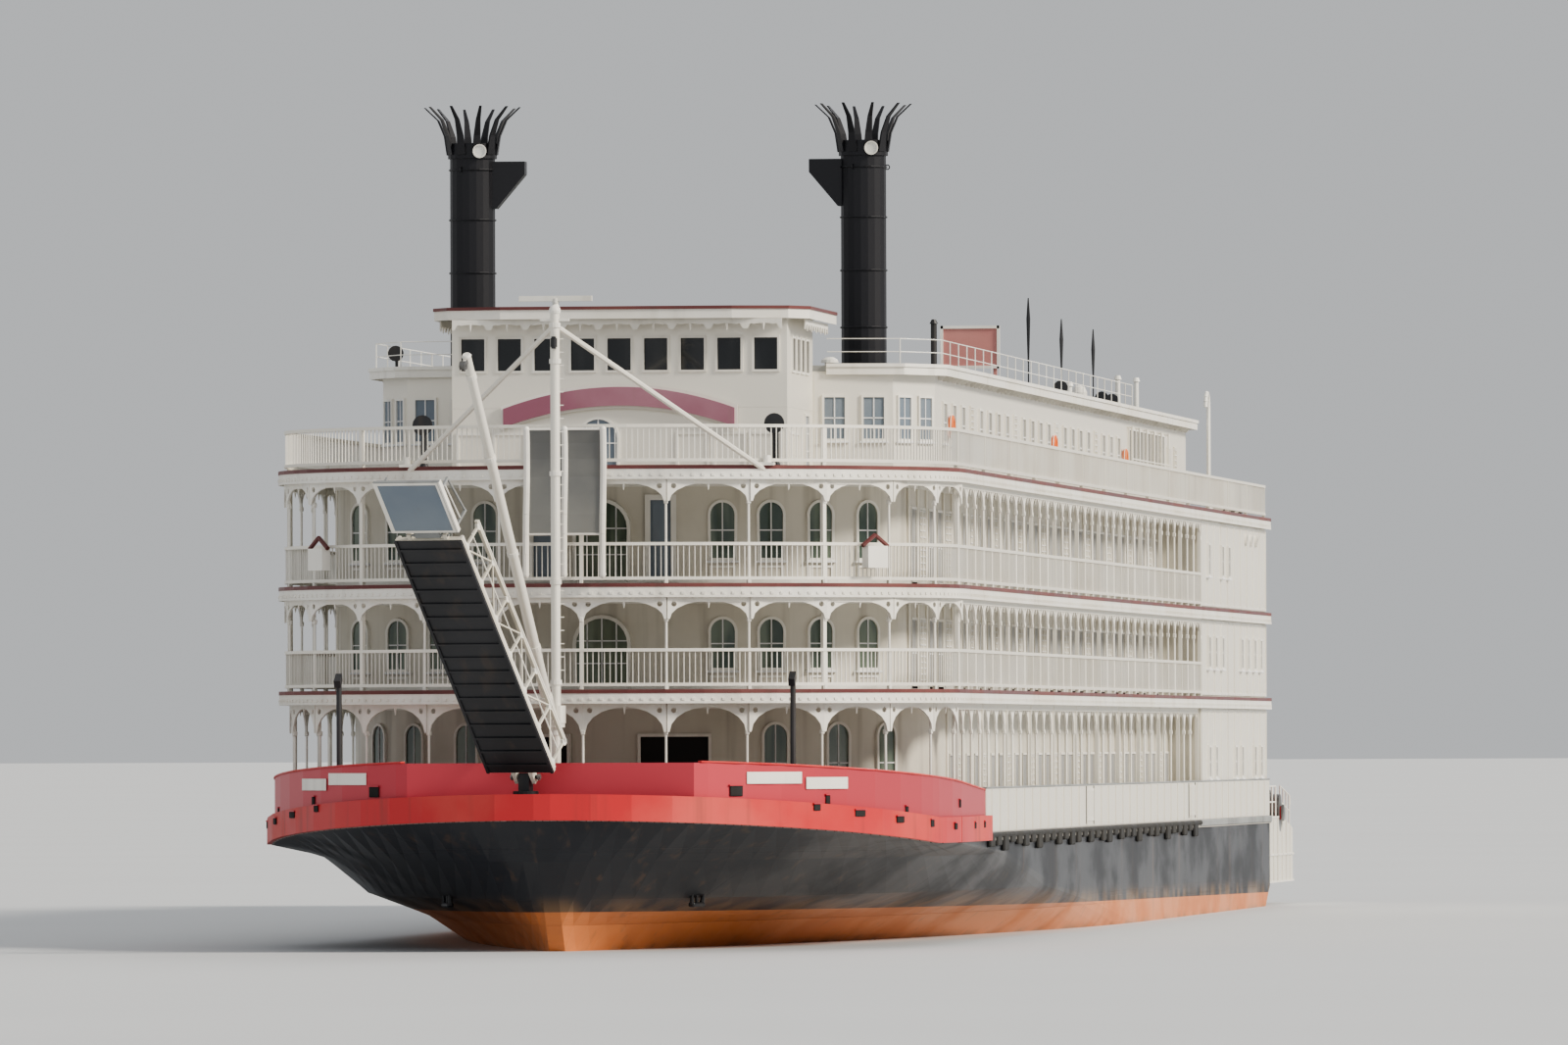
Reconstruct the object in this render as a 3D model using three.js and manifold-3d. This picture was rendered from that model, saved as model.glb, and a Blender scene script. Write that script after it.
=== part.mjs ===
// Sternwheel river boat, a 1:10 scale model. Millimetres, bow along +X, port along +Y, +Z up.
// The origin is on the flat bottom amidships. Distances "aft" are counted from the stem at the waterline.
import * as THREE from 'three';
import { mergeVertices } from 'three/addons/utils/BufferGeometryUtils.js';
import Module from 'manifold-3d';

const wasm = await Module();
wasm.setup();

// Driving dimensions
const GAP = 0.3;
const STEM_X = 5000;
const HALF_BEAM = 885;
const BOW_AFT = -200;
const SHOULDER_AFT = 1290;
const STERN_AFT = 9950;
const SHEER_END = 900;
const SHEER_RISE = 65;
const TIP = 20;
const BOW_STEPS = 14;
const DECK_TOPS = { main: 514, second: 882, third: 1150, fourth: 1448 };
const DECK_THICK = { main: 23.7, upper: 30 };
const DECK_FRONT_AFT = 500;

// Small helpers for places along the hull
const fromAft = (aft) => STEM_X - aft;
const toAft = (x) => STEM_X - x;
const sheer = (aft) => SHEER_RISE * Math.max(0, (SHEER_END - aft) / (SHEER_END - BOW_AFT));

const finish = (color, roughness, metalness = 0) => (
  new THREE.MeshStandardMaterial({ color, roughness, metalness })
);
const FINISH = {
  antifouling: finish(0xe08a4e, 0.6),
  hullBlack: finish(0x1a1d22, 0.5),
  bulwarkRed: finish(0xa8323a, 0.5),
  white: finish(0xe9e4d6, 0.6),
  deckGrey: finish(0x8a8d8a, 0.8),
  fascia: finish(0x6b3a34, 0.6),
  stackBlack: finish(0x18181a, 0.4),
  wheelRed: finish(0xb3252b, 0.5),
  steel: finish(0x6f7478, 0.45, 0.7),
  lampBlack: finish(0x202225, 0.5),
};

const boat = new THREE.Group();

function addMesh(name, geometry, material, place = boat) {
  const mesh = new THREE.Mesh(geometry, material);
  mesh.name = name;
  place.add(mesh);
  return mesh;
}

// Closed geometry and solids
function toSolid(geometry) {
  const bare = geometry.clone();
  bare.deleteAttribute('normal');
  bare.deleteAttribute('uv');
  const merged = mergeVertices(bare, 1e-4);
  return new wasm.Manifold(new wasm.Mesh({
    numProp: 3,
    vertProperties: new Float32Array(merged.attributes.position.array),
    triVerts: new Uint32Array(merged.index.array),
  }));
}

function toGeometry(solid) {
  const mesh = solid.getMesh();
  const geometry = new THREE.BufferGeometry();
  geometry.setAttribute('position', new THREE.BufferAttribute(mesh.vertProperties, 3));
  geometry.setIndex(new THREE.BufferAttribute(mesh.triVerts, 1));
  return geometry;
}

const asSolid = (shape) => (shape.isBufferGeometry ? toSolid(shape) : shape);

function joined(shapes) {
  return shapes.map(asSolid).reduce((sum, solid) => sum.add(solid));
}

function cut(solid, geometries) {
  return geometries.map(toSolid).reduce((rest, tool) => rest.subtract(tool), solid);
}

// A skin over rings of equal point counts. Each ring pairs its first half with its mirrored second half,
// so that its end caps are closed by strips between the pairs.
function loft(rings) {
  const count = rings[0].length;
  const positions = rings.flat().flatMap((point) => [point.x, point.y, point.z]);
  const triangles = [];
  const quad = (a, b, c, d) => triangles.push(a, b, c, a, c, d);
  for (let ring = 0; ring + 1 < rings.length; ring++) {
    for (let i = 0; i < count; i++) {
      const next = (i + 1) % count;
      const low = ring * count;
      const high = low + count;
      quad(low + i, low + next, high + next, high + i);
    }
  }
  const top = (rings.length - 1) * count;
  for (let i = 0; i + 1 < count / 2; i++) {
    const mirror = count - 1 - i;
    quad(i, mirror, mirror - 1, i + 1);
    quad(top + i, top + i + 1, top + mirror - 1, top + mirror);
  }
  const geometry = new THREE.BufferGeometry();
  geometry.setAttribute('position', new THREE.Float32BufferAttribute(positions, 3));
  geometry.setIndex(signedVolume(positions, triangles) < 0 ? triangles.reverse() : triangles);
  return geometry;
}

function signedVolume(positions, triangles) {
  const corner = (index) => new THREE.Vector3().fromArray(positions, index * 3);
  let sum = 0;
  for (let i = 0; i < triangles.length; i += 3) {
    const [a, b, c] = [corner(triangles[i]), corner(triangles[i + 1]), corner(triangles[i + 2])];
    sum += a.dot(b.cross(c));
  }
  return sum;
}

// Half of a deck or waterline in plan, from the bow to the stern, as [aft, half breadth] pairs:
// a rounded bow up to the shoulder, then a straight side
function halfPlan({ bow, shoulder, half, stern, fineness = 1, tip = TIP, steps = BOW_STEPS, extra = [] }) {
  const start = Math.asin((tip / half) ** (1 / fineness));
  const shares = Array.from({ length: steps + 1 }, (_, i) => i / steps);
  const turns = [...shares, ...extra].sort((a, b) => a - b).map((share) => (
    start + share * (Math.PI / 2 - start)
  ));
  const rounded = turns.map((turn) => (
    [shoulder - (shoulder - bow) * Math.cos(turn), half * Math.sin(turn) ** fineness]
  ));
  return [...rounded, [stern, half]];
}

// The share of the rounded bow at which the main deck's sheer line ends, as an extra station
function sheerShare() {
  const start = Math.asin(TIP / HALF_BEAM);
  const turn = Math.acos((SHOULDER_AFT - SHEER_END) / (SHOULDER_AFT - BOW_AFT));
  return (turn - start) / (Math.PI / 2 - start);
}

// A closed ring from a half plan, port side going aft, starboard side coming back
function planRing(points, heightAt) {
  const port = points.map(([aft, y]) => new THREE.Vector3(fromAft(aft), y, heightAt(aft)));
  const starboard = points.map(([aft, y]) => new THREE.Vector3(fromAft(aft), -y, heightAt(aft)));
  return [...port, ...starboard.reverse()];
}

function plate(points, low, high) {
  return loft([planRing(points, () => low), planRing(points, () => high)]);
}

// A block from its limits: aft distances, breadths and heights
function block([aftFront, aftBack], [y0, y1], [z0, z1]) {
  const geometry = new THREE.BoxGeometry(aftBack - aftFront, y1 - y0, z1 - z0);
  return geometry.translate(fromAft((aftFront + aftBack) / 2), (y0 + y1) / 2, (z0 + z1) / 2);
}

// A round bar between two points, thinner at its end if wanted
function bar(start, end, radius, endRadius = radius, sides = 10) {
  const along = new THREE.Vector3().subVectors(end, start);
  const geometry = new THREE.CylinderGeometry(endRadius, radius, along.length(), sides);
  const up = new THREE.Vector3(0, 1, 0);
  const turn = new THREE.Quaternion().setFromUnitVectors(up, along.clone().normalize());
  const middle = new THREE.Vector3().addVectors(start, end).multiplyScalar(0.5);
  return geometry.applyQuaternion(turn).translate(middle.x, middle.y, middle.z);
}

const turned = (profile, sides) => (
  new THREE.LatheGeometry(profile.map(([r, z]) => new THREE.Vector2(r, z)), sides).rotateX(Math.PI / 2)
);

// A path in plan, shifted sideways toward the inside of the boat
function insetPath(path, inset) {
  return path.map((point, i) => {
    const before = path[Math.max(0, i - 1)];
    const after = path[Math.min(path.length - 1, i + 1)];
    const first = new THREE.Vector2().subVectors(point, before).normalize();
    const second = new THREE.Vector2().subVectors(after, point).normalize();
    const along = new THREE.Vector2().addVectors(first, second).normalize();
    const spread = Math.max(0.5, i > 0 && i < path.length - 1 ? along.dot(second) : 1);
    return new THREE.Vector2(point.x + along.y * inset / spread, point.y - along.x * inset / spread);
  });
}

// A wall between an outer and an inner path, from one height to another
function wallBetween(outer, inner, lowAt, highAt) {
  const corner = (point, heightAt) => new THREE.Vector3(point.x, point.y, heightAt(toAft(point.x)));
  return loft(outer.map((point, i) => [
    corner(point, lowAt),
    corner(point, highAt),
    corner(inner[i], highAt),
    corner(inner[i], lowAt),
  ]));
}

// A wall that follows a path
function wall(path, thickness, lowAt, highAt) {
  return wallBetween(path, insetPath(path, thickness), lowAt, highAt);
}

// The path around a deck's edge, from port aft round the bow to starboard aft
function edgePath(points) {
  const port = points.map(([aft, y]) => new THREE.Vector2(fromAft(aft), y)).reverse();
  const starboard = points.map(([aft, y]) => new THREE.Vector2(fromAft(aft), -y));
  return [...port, ...starboard];
}

// Hull: waterlines from the flat bottom up to the deck
const HULL_LEVELS = [
  // height, bow, shoulder, stern, half breadth, fineness
  [0, 1500, 6500, 8700, 790, 1.9],
  [60, 800, 6200, 9050, 868, 1.9],
  [230, 0, 6000, 9800, 880, 1.89],
  [295, -30, 5000, STERN_AFT, 880, 1.7],
  [360, -60, 3500, STERN_AFT, 880, 1.3],
  [455, -150, 2400, STERN_AFT, 880, 1.2],
];
const HULL_STEPS = 24;
const HULL_HALF = 880;
const HULL_TOP = DECK_TOPS.main - DECK_THICK.main - GAP;
const BOOT_LEVEL = 3;
const RUDDER = { aft: 9690, y: 350, stock: 10, low: 18, blade: [9560, 9860], high: 138, thick: 14 };

function buildHull() {
  const stations = { steps: HULL_STEPS, extra: [sheerShare()] };
  const rings = HULL_LEVELS.map(([z, bow, shoulder, stern, half, fineness]) => (
    planRing(halfPlan({ bow, shoulder, stern, half, fineness, ...stations }), () => z)
  ));
  const top = { bow: BOW_AFT, shoulder: SHOULDER_AFT, stern: STERN_AFT, half: HULL_HALF };
  rings.push(planRing(halfPlan({ ...top, ...stations }), (aft) => HULL_TOP + sheer(aft)));
  const lower = rings.slice(0, BOOT_LEVEL + 1);
  const upper = rings.slice(BOOT_LEVEL);
  upper[0] = upper[0].map((point) => point.clone().setZ(point.z + GAP));
  const bores = [-1, 1].map((side) => (
    new THREE.CylinderGeometry(RUDDER.stock + 1, RUDDER.stock + 1, 240, 16)
      .rotateX(Math.PI / 2).translate(fromAft(RUDDER.aft), side * RUDDER.y, 120)
  ));
  addMesh('hull_bottom', toGeometry(cut(toSolid(loft(lower)), bores)), FINISH.antifouling);
  addMesh('hull_topsides', loft(upper), FINISH.hullBlack);
}

// Main deck with its guard, the red bow strake and the bulwarks
const STRAKE = { thick: 11.7, below: 22, above: 43, end: 1150 };
const BULWARK = { inset: 8, thick: 10, gate: 360, end: 1830, top: [[-100, 701], [1830, 621]] };
const SIDE_BULWARK = { y: [872, 880], height: 112 };

// Where a path crosses a line, between two of its points
function crossing(before, after, share) {
  return before.clone().lerp(after, share);
}

// The part of an edge path that lies forward of a station
function forwardOf(path, aft) {
  const x = fromAft(aft);
  const kept = path.filter((point) => point.x > x);
  const first = path.findIndex((point) => point.x > x);
  const last = path.findLastIndex((point) => point.x > x);
  const ends = [[first - 1, first], [last, last + 1]].map(([i, j]) => (
    crossing(path[i], path[j], (x - path[i].x) / (path[j].x - path[i].x))
  ));
  return [ends[0], ...kept, ends[1]];
}

// An edge path whose rounded bow is replaced by a straight line across, between two breadths
function straightAcross(path, breadth) {
  const first = path.findIndex((point) => Math.abs(point.y) < breadth);
  const last = path.findLastIndex((point) => Math.abs(point.y) < breadth);
  const ends = [[first - 1, first], [last, last + 1]].map(([i, j]) => {
    const target = Math.sign(path[i].y) * breadth;
    return crossing(path[i], path[j], (target - path[i].y) / (path[j].y - path[i].y));
  });
  return [...path.slice(0, first), ...ends, ...path.slice(last + 1)];
}

function buildMainDeck() {
  const edge = halfPlan({
    bow: BOW_AFT, shoulder: SHOULDER_AFT, stern: STERN_AFT, half: HALF_BEAM, extra: [sheerShare()],
  });
  const bottom = DECK_TOPS.main - DECK_THICK.main;
  addMesh('main_deck', loft([
    planRing(edge, (aft) => bottom + sheer(aft)),
    planRing(edge, (aft) => DECK_TOPS.main + sheer(aft)),
  ]), FINISH.deckGrey);

  const deckEdge = edgePath(edge);
  const strake = forwardOf(insetPath(deckEdge, -STRAKE.thick - GAP), STRAKE.end);
  addMesh('bow_strake', wall(
    strake, STRAKE.thick,
    (aft) => DECK_TOPS.main - STRAKE.below + sheer(aft),
    (aft) => DECK_TOPS.main + STRAKE.above + sheer(aft),
  ), FINISH.bulwarkRed);

  const [[startAft, startTop], [endAft, endTop]] = BULWARK.top;
  const bulwarkTop = (aft) => (
    startTop + (endTop - startTop) * (Math.max(aft, startAft) - startAft) / (endAft - startAft)
  );
  const line = straightAcross(forwardOf(insetPath(deckEdge, BULWARK.inset), BULWARK.end), BULWARK.gate);
  addMesh('bow_bulwark', wall(
    line, BULWARK.thick,
    (aft) => DECK_TOPS.main + GAP + sheer(aft),
    bulwarkTop,
  ), FINISH.bulwarkRed);

  [['port', 1], ['starboard', -1]].forEach(([name, side]) => {
    const [inner, outer] = SIDE_BULWARK.y.map((y) => side * y).sort((a, b) => a - b);
    addMesh(`side_bulwark_${name}`, block(
      [BULWARK.end + GAP, STERN_AFT - 5],
      [inner, outer],
      [DECK_TOPS.main + GAP, DECK_TOPS.main + SIDE_BULWARK.height],
    ), FINISH.white);
  });
}

// Upper decks and the houses between them
const AFT_BLOCK = 7800;
const HOUSES = [
  // name, deck it stands on, deck above it, front, shoulder, half breadth
  ['house_main', 'main', 'second', 1150, 1800, 770],
  ['house_second', 'second', 'third', 900, 1300, 740],
  ['house_third', 'third', 'fourth', 900, 1300, 740],
];

function buildDecksAndHouses() {
  const edge = halfPlan({
    bow: DECK_FRONT_AFT, shoulder: SHOULDER_AFT, stern: STERN_AFT, half: HALF_BEAM,
  });
  ['second', 'third', 'fourth'].forEach((name) => {
    addMesh(`deck_${name}`, plate(edge, DECK_TOPS[name] - DECK_THICK.upper, DECK_TOPS[name]), FINISH.fascia);
  });
  HOUSES.forEach(([name, below, above, bow, shoulder, half]) => {
    const low = DECK_TOPS[below] + GAP;
    const high = DECK_TOPS[above] - DECK_THICK.upper - GAP;
    const plan = halfPlan({ bow, shoulder, stern: AFT_BLOCK, half });
    const wide = HALF_BEAM - 16;
    addMesh(name, plate([
      ...plan,
      [AFT_BLOCK + 0.5, wide],
      [STERN_AFT - 10, wide],
    ], low, high), FINISH.white);
  });
}

// Colonnades, balconies and railings
const RAIL = { post: 10, rail: 8, inset: 12, pitch: 610, top: 105, low: 14, bar: 8, header: 16 };

// Posts at an even pitch along a path, the first and last a little inside its ends
function postsAlong(path, pitch, low, high) {
  const lengths = path.slice(1).map((point, i) => point.distanceTo(path[i]));
  const total = lengths.reduce((sum, length) => sum + length, 0) - 2 * RAIL.post;
  const bays = Math.round(total / pitch);
  return Array.from({ length: bays + 1 }, (_, post) => {
    let rest = RAIL.post + (post / bays) * total;
    let leg = 0;
    while (rest > lengths[leg]) rest -= lengths[leg++];
    const spot = path[leg].clone().lerp(path[leg + 1], rest / lengths[leg]);
    const along = new THREE.Vector2().subVectors(path[leg + 1], path[leg]);
    return new THREE.BoxGeometry(RAIL.post, RAIL.post, high - low)
      .rotateZ(along.angle())
      .translate(spot.x, spot.y, (low + high) / 2);
  });
}

// The port side, the rounded bow and the starboard side of a path, a gap apart
function sections(path) {
  const last = path.length - 1;
  const apart = (point) => new THREE.Vector2(point.x - GAP, point.y);
  return {
    port: [path[0], apart(path[1])],
    bow: path.slice(1, last),
    starboard: [apart(path[last - 1]), path[last]],
  };
}

// Posts and rails along an edge in three sections: rails at the foot and at hand height,
// and a header where a deck covers them
function addRailings(prefix, points, deckTop, ceiling) {
  const edge = insetPath(edgePath(points), RAIL.inset);
  const [outer, inner, middle] = [0, RAIL.rail, 1 + RAIL.post / 2].map((inset) => (
    sections(insetPath(edge, inset))
  ));
  const low = deckTop + GAP;
  const high = ceiling ? ceiling - GAP : deckTop + RAIL.top;
  const half = RAIL.bar / 2;
  const spans = [RAIL.low, RAIL.top - half].map((height) => (
    [deckTop + height - half, deckTop + height + half]
  ));
  if (ceiling) spans.push([high - RAIL.header, high]);
  Object.keys(outer).forEach((name) => {
    const bars = spans.map(([from, to]) => wallBetween(outer[name], inner[name], () => from, () => to));
    const posts = postsAlong(middle[name], RAIL.pitch, low, high - 0.01);
    addMesh(`${prefix}_${name}`, toGeometry(joined([...bars, ...posts])), FINISH.white);
  });
}

function buildRailings() {
  const plan = halfPlan({
    bow: DECK_FRONT_AFT, shoulder: SHOULDER_AFT, stern: AFT_BLOCK - 3, half: HALF_BEAM,
  });
  const ceilingOf = (name) => DECK_TOPS[name] - DECK_THICK.upper;
  addRailings('balcony_second', plan, DECK_TOPS.second, ceilingOf('third'));
  addRailings('balcony_third', plan, DECK_TOPS.third, ceilingOf('fourth'));
  const open = halfPlan({
    bow: DECK_FRONT_AFT, shoulder: SHOULDER_AFT, stern: STERN_AFT - 20, half: HALF_BEAM,
  });
  addRailings('rail_fourth', open, DECK_TOPS.fourth, 0);

  // Pillars from the main deck to the deck above, tied by a header on each side
  const low = DECK_TOPS.main + GAP;
  const high = ceilingOf('second') - GAP;
  [['port', 1], ['starboard', -1]].forEach(([name, side]) => {
    const y = side * 860;
    const header = block([1300, AFT_BLOCK - 3], [y - 4, y + 4], [high - 20, high]);
    const start = new THREE.Vector2(fromAft(AFT_BLOCK - 20), y);
    const end = new THREE.Vector2(fromAft(1310), y);
    const posts = postsAlong([start, end], RAIL.pitch, low, high - 0.01);
    addMesh(`colonnade_${name}`, toGeometry(joined([header, ...posts])), FINISH.white);
  });
}

// Texas house on the fourth deck, with the pilothouse at its front
const TEXAS = {
  plan: [[1780.3, 440], [1830, 640], [2000, 730], [8800, 730]],
  roof: [[1781, 470], [1822, 668], [1990, 760], [8830, 760]],
  roofLow: 1715,
  roofTop: 1730,
};
const PILOTHOUSE = {
  aft: [1240, 1779.7], half: 435, floor: 1610, top: 1850, wall: 12,
  roof: [[1180, 300], [1215, 440], [1290, 485], [1860, 485]], roofTop: 1866,
};
const WINDOW = { width: 62, low: 1706, high: 1790, pitch: 95, front: 9, side: 4 };

// Window openings along one wall of the pilothouse, as cutters
function windowRow(count, centre, place) {
  return Array.from({ length: count }, (_, i) => {
    const offset = centre + (i - (count - 1) / 2) * WINDOW.pitch;
    return place([offset - WINDOW.width / 2, offset + WINDOW.width / 2]);
  });
}

function buildTexas() {
  const [front, back] = PILOTHOUSE.aft;
  const base = DECK_TOPS.fourth + GAP;
  addMesh('texas_house', plate(TEXAS.plan, base, TEXAS.roofLow - GAP), FINISH.white);
  addMesh('texas_roof', plate(TEXAS.roof, TEXAS.roofLow, TEXAS.roofTop), FINISH.deckGrey);
  addMesh('pilothouse_base', block(
    [front, back], [-PILOTHOUSE.half, PILOTHOUSE.half], [base, PILOTHOUSE.floor],
  ), FINISH.white);

  const heights = [WINDOW.low, WINDOW.high];
  const inner = PILOTHOUSE.half - PILOTHOUSE.wall;
  const outer = PILOTHOUSE.half + 1;
  const shell = block([front, back], [-PILOTHOUSE.half, PILOTHOUSE.half],
    [PILOTHOUSE.floor + GAP, PILOTHOUSE.top]);
  const room = block([front + PILOTHOUSE.wall, back - PILOTHOUSE.wall], [-inner, inner],
    [PILOTHOUSE.floor, PILOTHOUSE.top + 1]);
  const middle = (front + back) / 2;
  const cutters = [
    room,
    ...windowRow(WINDOW.front, 0, (span) => block([front - 1, front + PILOTHOUSE.wall + 1], span, heights)),
    ...windowRow(WINDOW.side, middle, (span) => block(span, [inner - 1, outer], heights)),
    ...windowRow(WINDOW.side, middle, (span) => block(span, [-outer, 1 - inner], heights)),
  ];
  addMesh('pilothouse_cab', toGeometry(cut(toSolid(shell), cutters)), FINISH.white);
  addMesh('pilothouse_roof', plate(PILOTHOUSE.roof, PILOTHOUSE.top + GAP, PILOTHOUSE.roofTop), FINISH.white);
}

// Twin stacks with crowns of outward curving leaves
const STACK = { aft: 2200, y: 520, radius: 60, wall: 8, top: 2330, bore: 300, sides: 20 };
const STACK_BOX = { half: 22, profile: [[54, 2160], [54, 2284], [142, 2284], [142, 2250], [66, 2160]] };
const CROWN = {
  low: 2292, high: 2332, wall: 5, leaves: 10, width: 24, thick: 5,
  curve: [[0, -30], [8, 20], [26, 62], [62, 96]],
};

// One leaf of the crown: a strip that curves outward, wide at its root and narrow at its tip
function crownLeaf(turn, innerRadius) {
  const steps = CROWN.curve.length;
  const rings = CROWN.curve.map(([out, rise], i) => {
    const half = (CROWN.width / 2) * (1 - 0.75 * i / (steps - 1));
    const radius = innerRadius + out;
    const z = CROWN.high + rise;
    const corner = (r, y) => new THREE.Vector3(r, y, z);
    const back = radius + CROWN.thick;
    return [corner(radius, -half), corner(back, -half), corner(back, half), corner(radius, half)];
  });
  return loft(rings).rotateZ(turn);
}

// The wedge-shaped box on the inner side of a stack, near its top
function stackBox(inward) {
  const shape = new THREE.Shape(STACK_BOX.profile.map(([out, z]) => new THREE.Vector2(inward * out, z)));
  const geometry = new THREE.ExtrudeGeometry(shape, { depth: 2 * STACK_BOX.half, bevelEnabled: false });
  return geometry.rotateX(Math.PI / 2).rotateZ(Math.PI / 2).translate(-STACK_BOX.half, 0, 0);
}

function buildStacks() {
  const { radius, wall: thick, sides, top } = STACK;
  [['port', 1], ['starboard', -1]].forEach(([name, side]) => {
    const place = new THREE.Group();
    place.position.set(fromAft(STACK.aft), side * STACK.y, 0);
    boat.add(place);
    const tube = turned([
      [0, TEXAS.roofTop + GAP], [radius, TEXAS.roofTop + GAP], [radius, top],
      [radius - thick, top], [radius - thick, top - STACK.bore], [0, top - STACK.bore],
    ], sides);
    addMesh(`stack_${name}`, toGeometry(joined([tube, stackBox(-side)])), FINISH.stackBlack, place);
    const inside = radius + GAP;
    const ring = turned([
      [inside, CROWN.low], [inside + CROWN.wall, CROWN.low],
      [inside + CROWN.wall, CROWN.high], [inside, CROWN.high], [inside, CROWN.low],
    ], sides);
    const leaves = Array.from({ length: CROWN.leaves }, (_, i) => (
      crownLeaf((i + 0.5) * 2 * Math.PI / CROWN.leaves, inside + 2)
    ));
    addMesh(`crown_${name}`, toGeometry(joined([ring, ...leaves])), FINISH.stackBlack, place);
  });
}

// Mast with its two back legs, and the boom that carries the landing stage
const MAST = { aft: 50, radius: 12, top: 1822, legTop: 1790, legFoot: [625, 460], legRadius: 7 };
const BOOM = {
  heelHeight: 820, heelOut: 36, swing: -12, rise: 56, length: 1060, radius: 11, tip: 8,
  collar: [13, 24], collarHeight: 44, flange: 22,
};
const rad = THREE.MathUtils.degToRad;

function buildMast() {
  const foot = DECK_TOPS.main + sheer(MAST.aft - 2 * MAST.radius) + GAP;
  const x = fromAft(MAST.aft);
  const head = new THREE.Vector3(x, 0, MAST.legTop);
  const [legAft, legY] = MAST.legFoot;
  const legZ = DECK_TOPS.fourth - DECK_THICK.upper / 2;
  const legs = [1, -1].map((side) => bar(
    new THREE.Vector3(fromAft(legAft), side * legY, legZ), head, MAST.legRadius, MAST.legRadius, 8,
  ));
  const deckRoom = plate(halfPlan({
    bow: DECK_FRONT_AFT - 2 * GAP, shoulder: SHOULDER_AFT, stern: STERN_AFT, half: HALF_BEAM + 2 * GAP,
  }), DECK_TOPS.fourth - DECK_THICK.upper - GAP, DECK_TOPS.fourth + GAP);
  const flangeTop = BOOM.heelHeight - BOOM.collarHeight / 2 - GAP;
  const pole = turned([
    [0, foot], [MAST.radius * 2, foot], [MAST.radius * 2, foot + 12], [MAST.radius, foot + 12],
    [MAST.radius, flangeTop - 10], [BOOM.flange, flangeTop - 10], [BOOM.flange, flangeTop],
    [MAST.radius, flangeTop], [MAST.radius, MAST.top], [0, MAST.top],
  ], 16).translate(x, 0, 0);
  addMesh('bow_mast', toGeometry(joined([cut(joined(legs), [deckRoom]), pole])), FINISH.white);
}

function buildBoom() {
  const swing = new THREE.Group();
  swing.position.set(fromAft(MAST.aft), 0, BOOM.heelHeight);
  swing.rotation.z = rad(BOOM.swing);
  boat.add(swing);
  const half = BOOM.collarHeight / 2;
  const [inner, outer] = BOOM.collar;
  const ring = turned([[inner, -half], [outer, -half], [outer, half], [inner, half], [inner, -half]], 16);
  const lug = new THREE.BoxGeometry(30, 12, 24).translate(BOOM.heelOut, 0, 0);
  const pin = new THREE.CylinderGeometry(4, 4, 36, 12).translate(BOOM.heelOut + 6, 0, 0);
  addMesh('boom_collar', toGeometry(joined([ring, lug, pin])), FINISH.steel, swing);

  const raised = new THREE.Group();
  raised.position.set(BOOM.heelOut + 6, 0, 0);
  raised.rotation.y = -rad(BOOM.rise);
  swing.add(raised);
  const spar = bar(
    new THREE.Vector3(30, 0, 0), new THREE.Vector3(BOOM.length, 0, 0), BOOM.radius, BOOM.tip, 12,
  );
  const cheeks = [1, -1].map((side) => (
    new THREE.BoxGeometry(52, 6, 18).translate(16, side * 10, 0)
  ));
  const heel = new THREE.BoxGeometry(14, 26, 18).translate(35, 0, 0);
  const bore = new THREE.CylinderGeometry(4.5, 4.5, 60, 12);
  const eye = new THREE.BoxGeometry(10, 8, 34).translate(BOOM.length - 8, 0, -8);
  addMesh('boom', toGeometry(cut(joined([spar, ...cheeks, heel, eye]), [bore])), FINISH.white, raised);
}

// Landing stage: a trussed gangway hinged on a turntable at the bow, raised as it is carried under way
const STAGE = {
  aft: -140, y: -50, pivot: 665, swing: -20, rise: 50, length: 770, half: 92, deck: 12,
  truss: 90, panels: 6, apron: 180,
};

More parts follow.
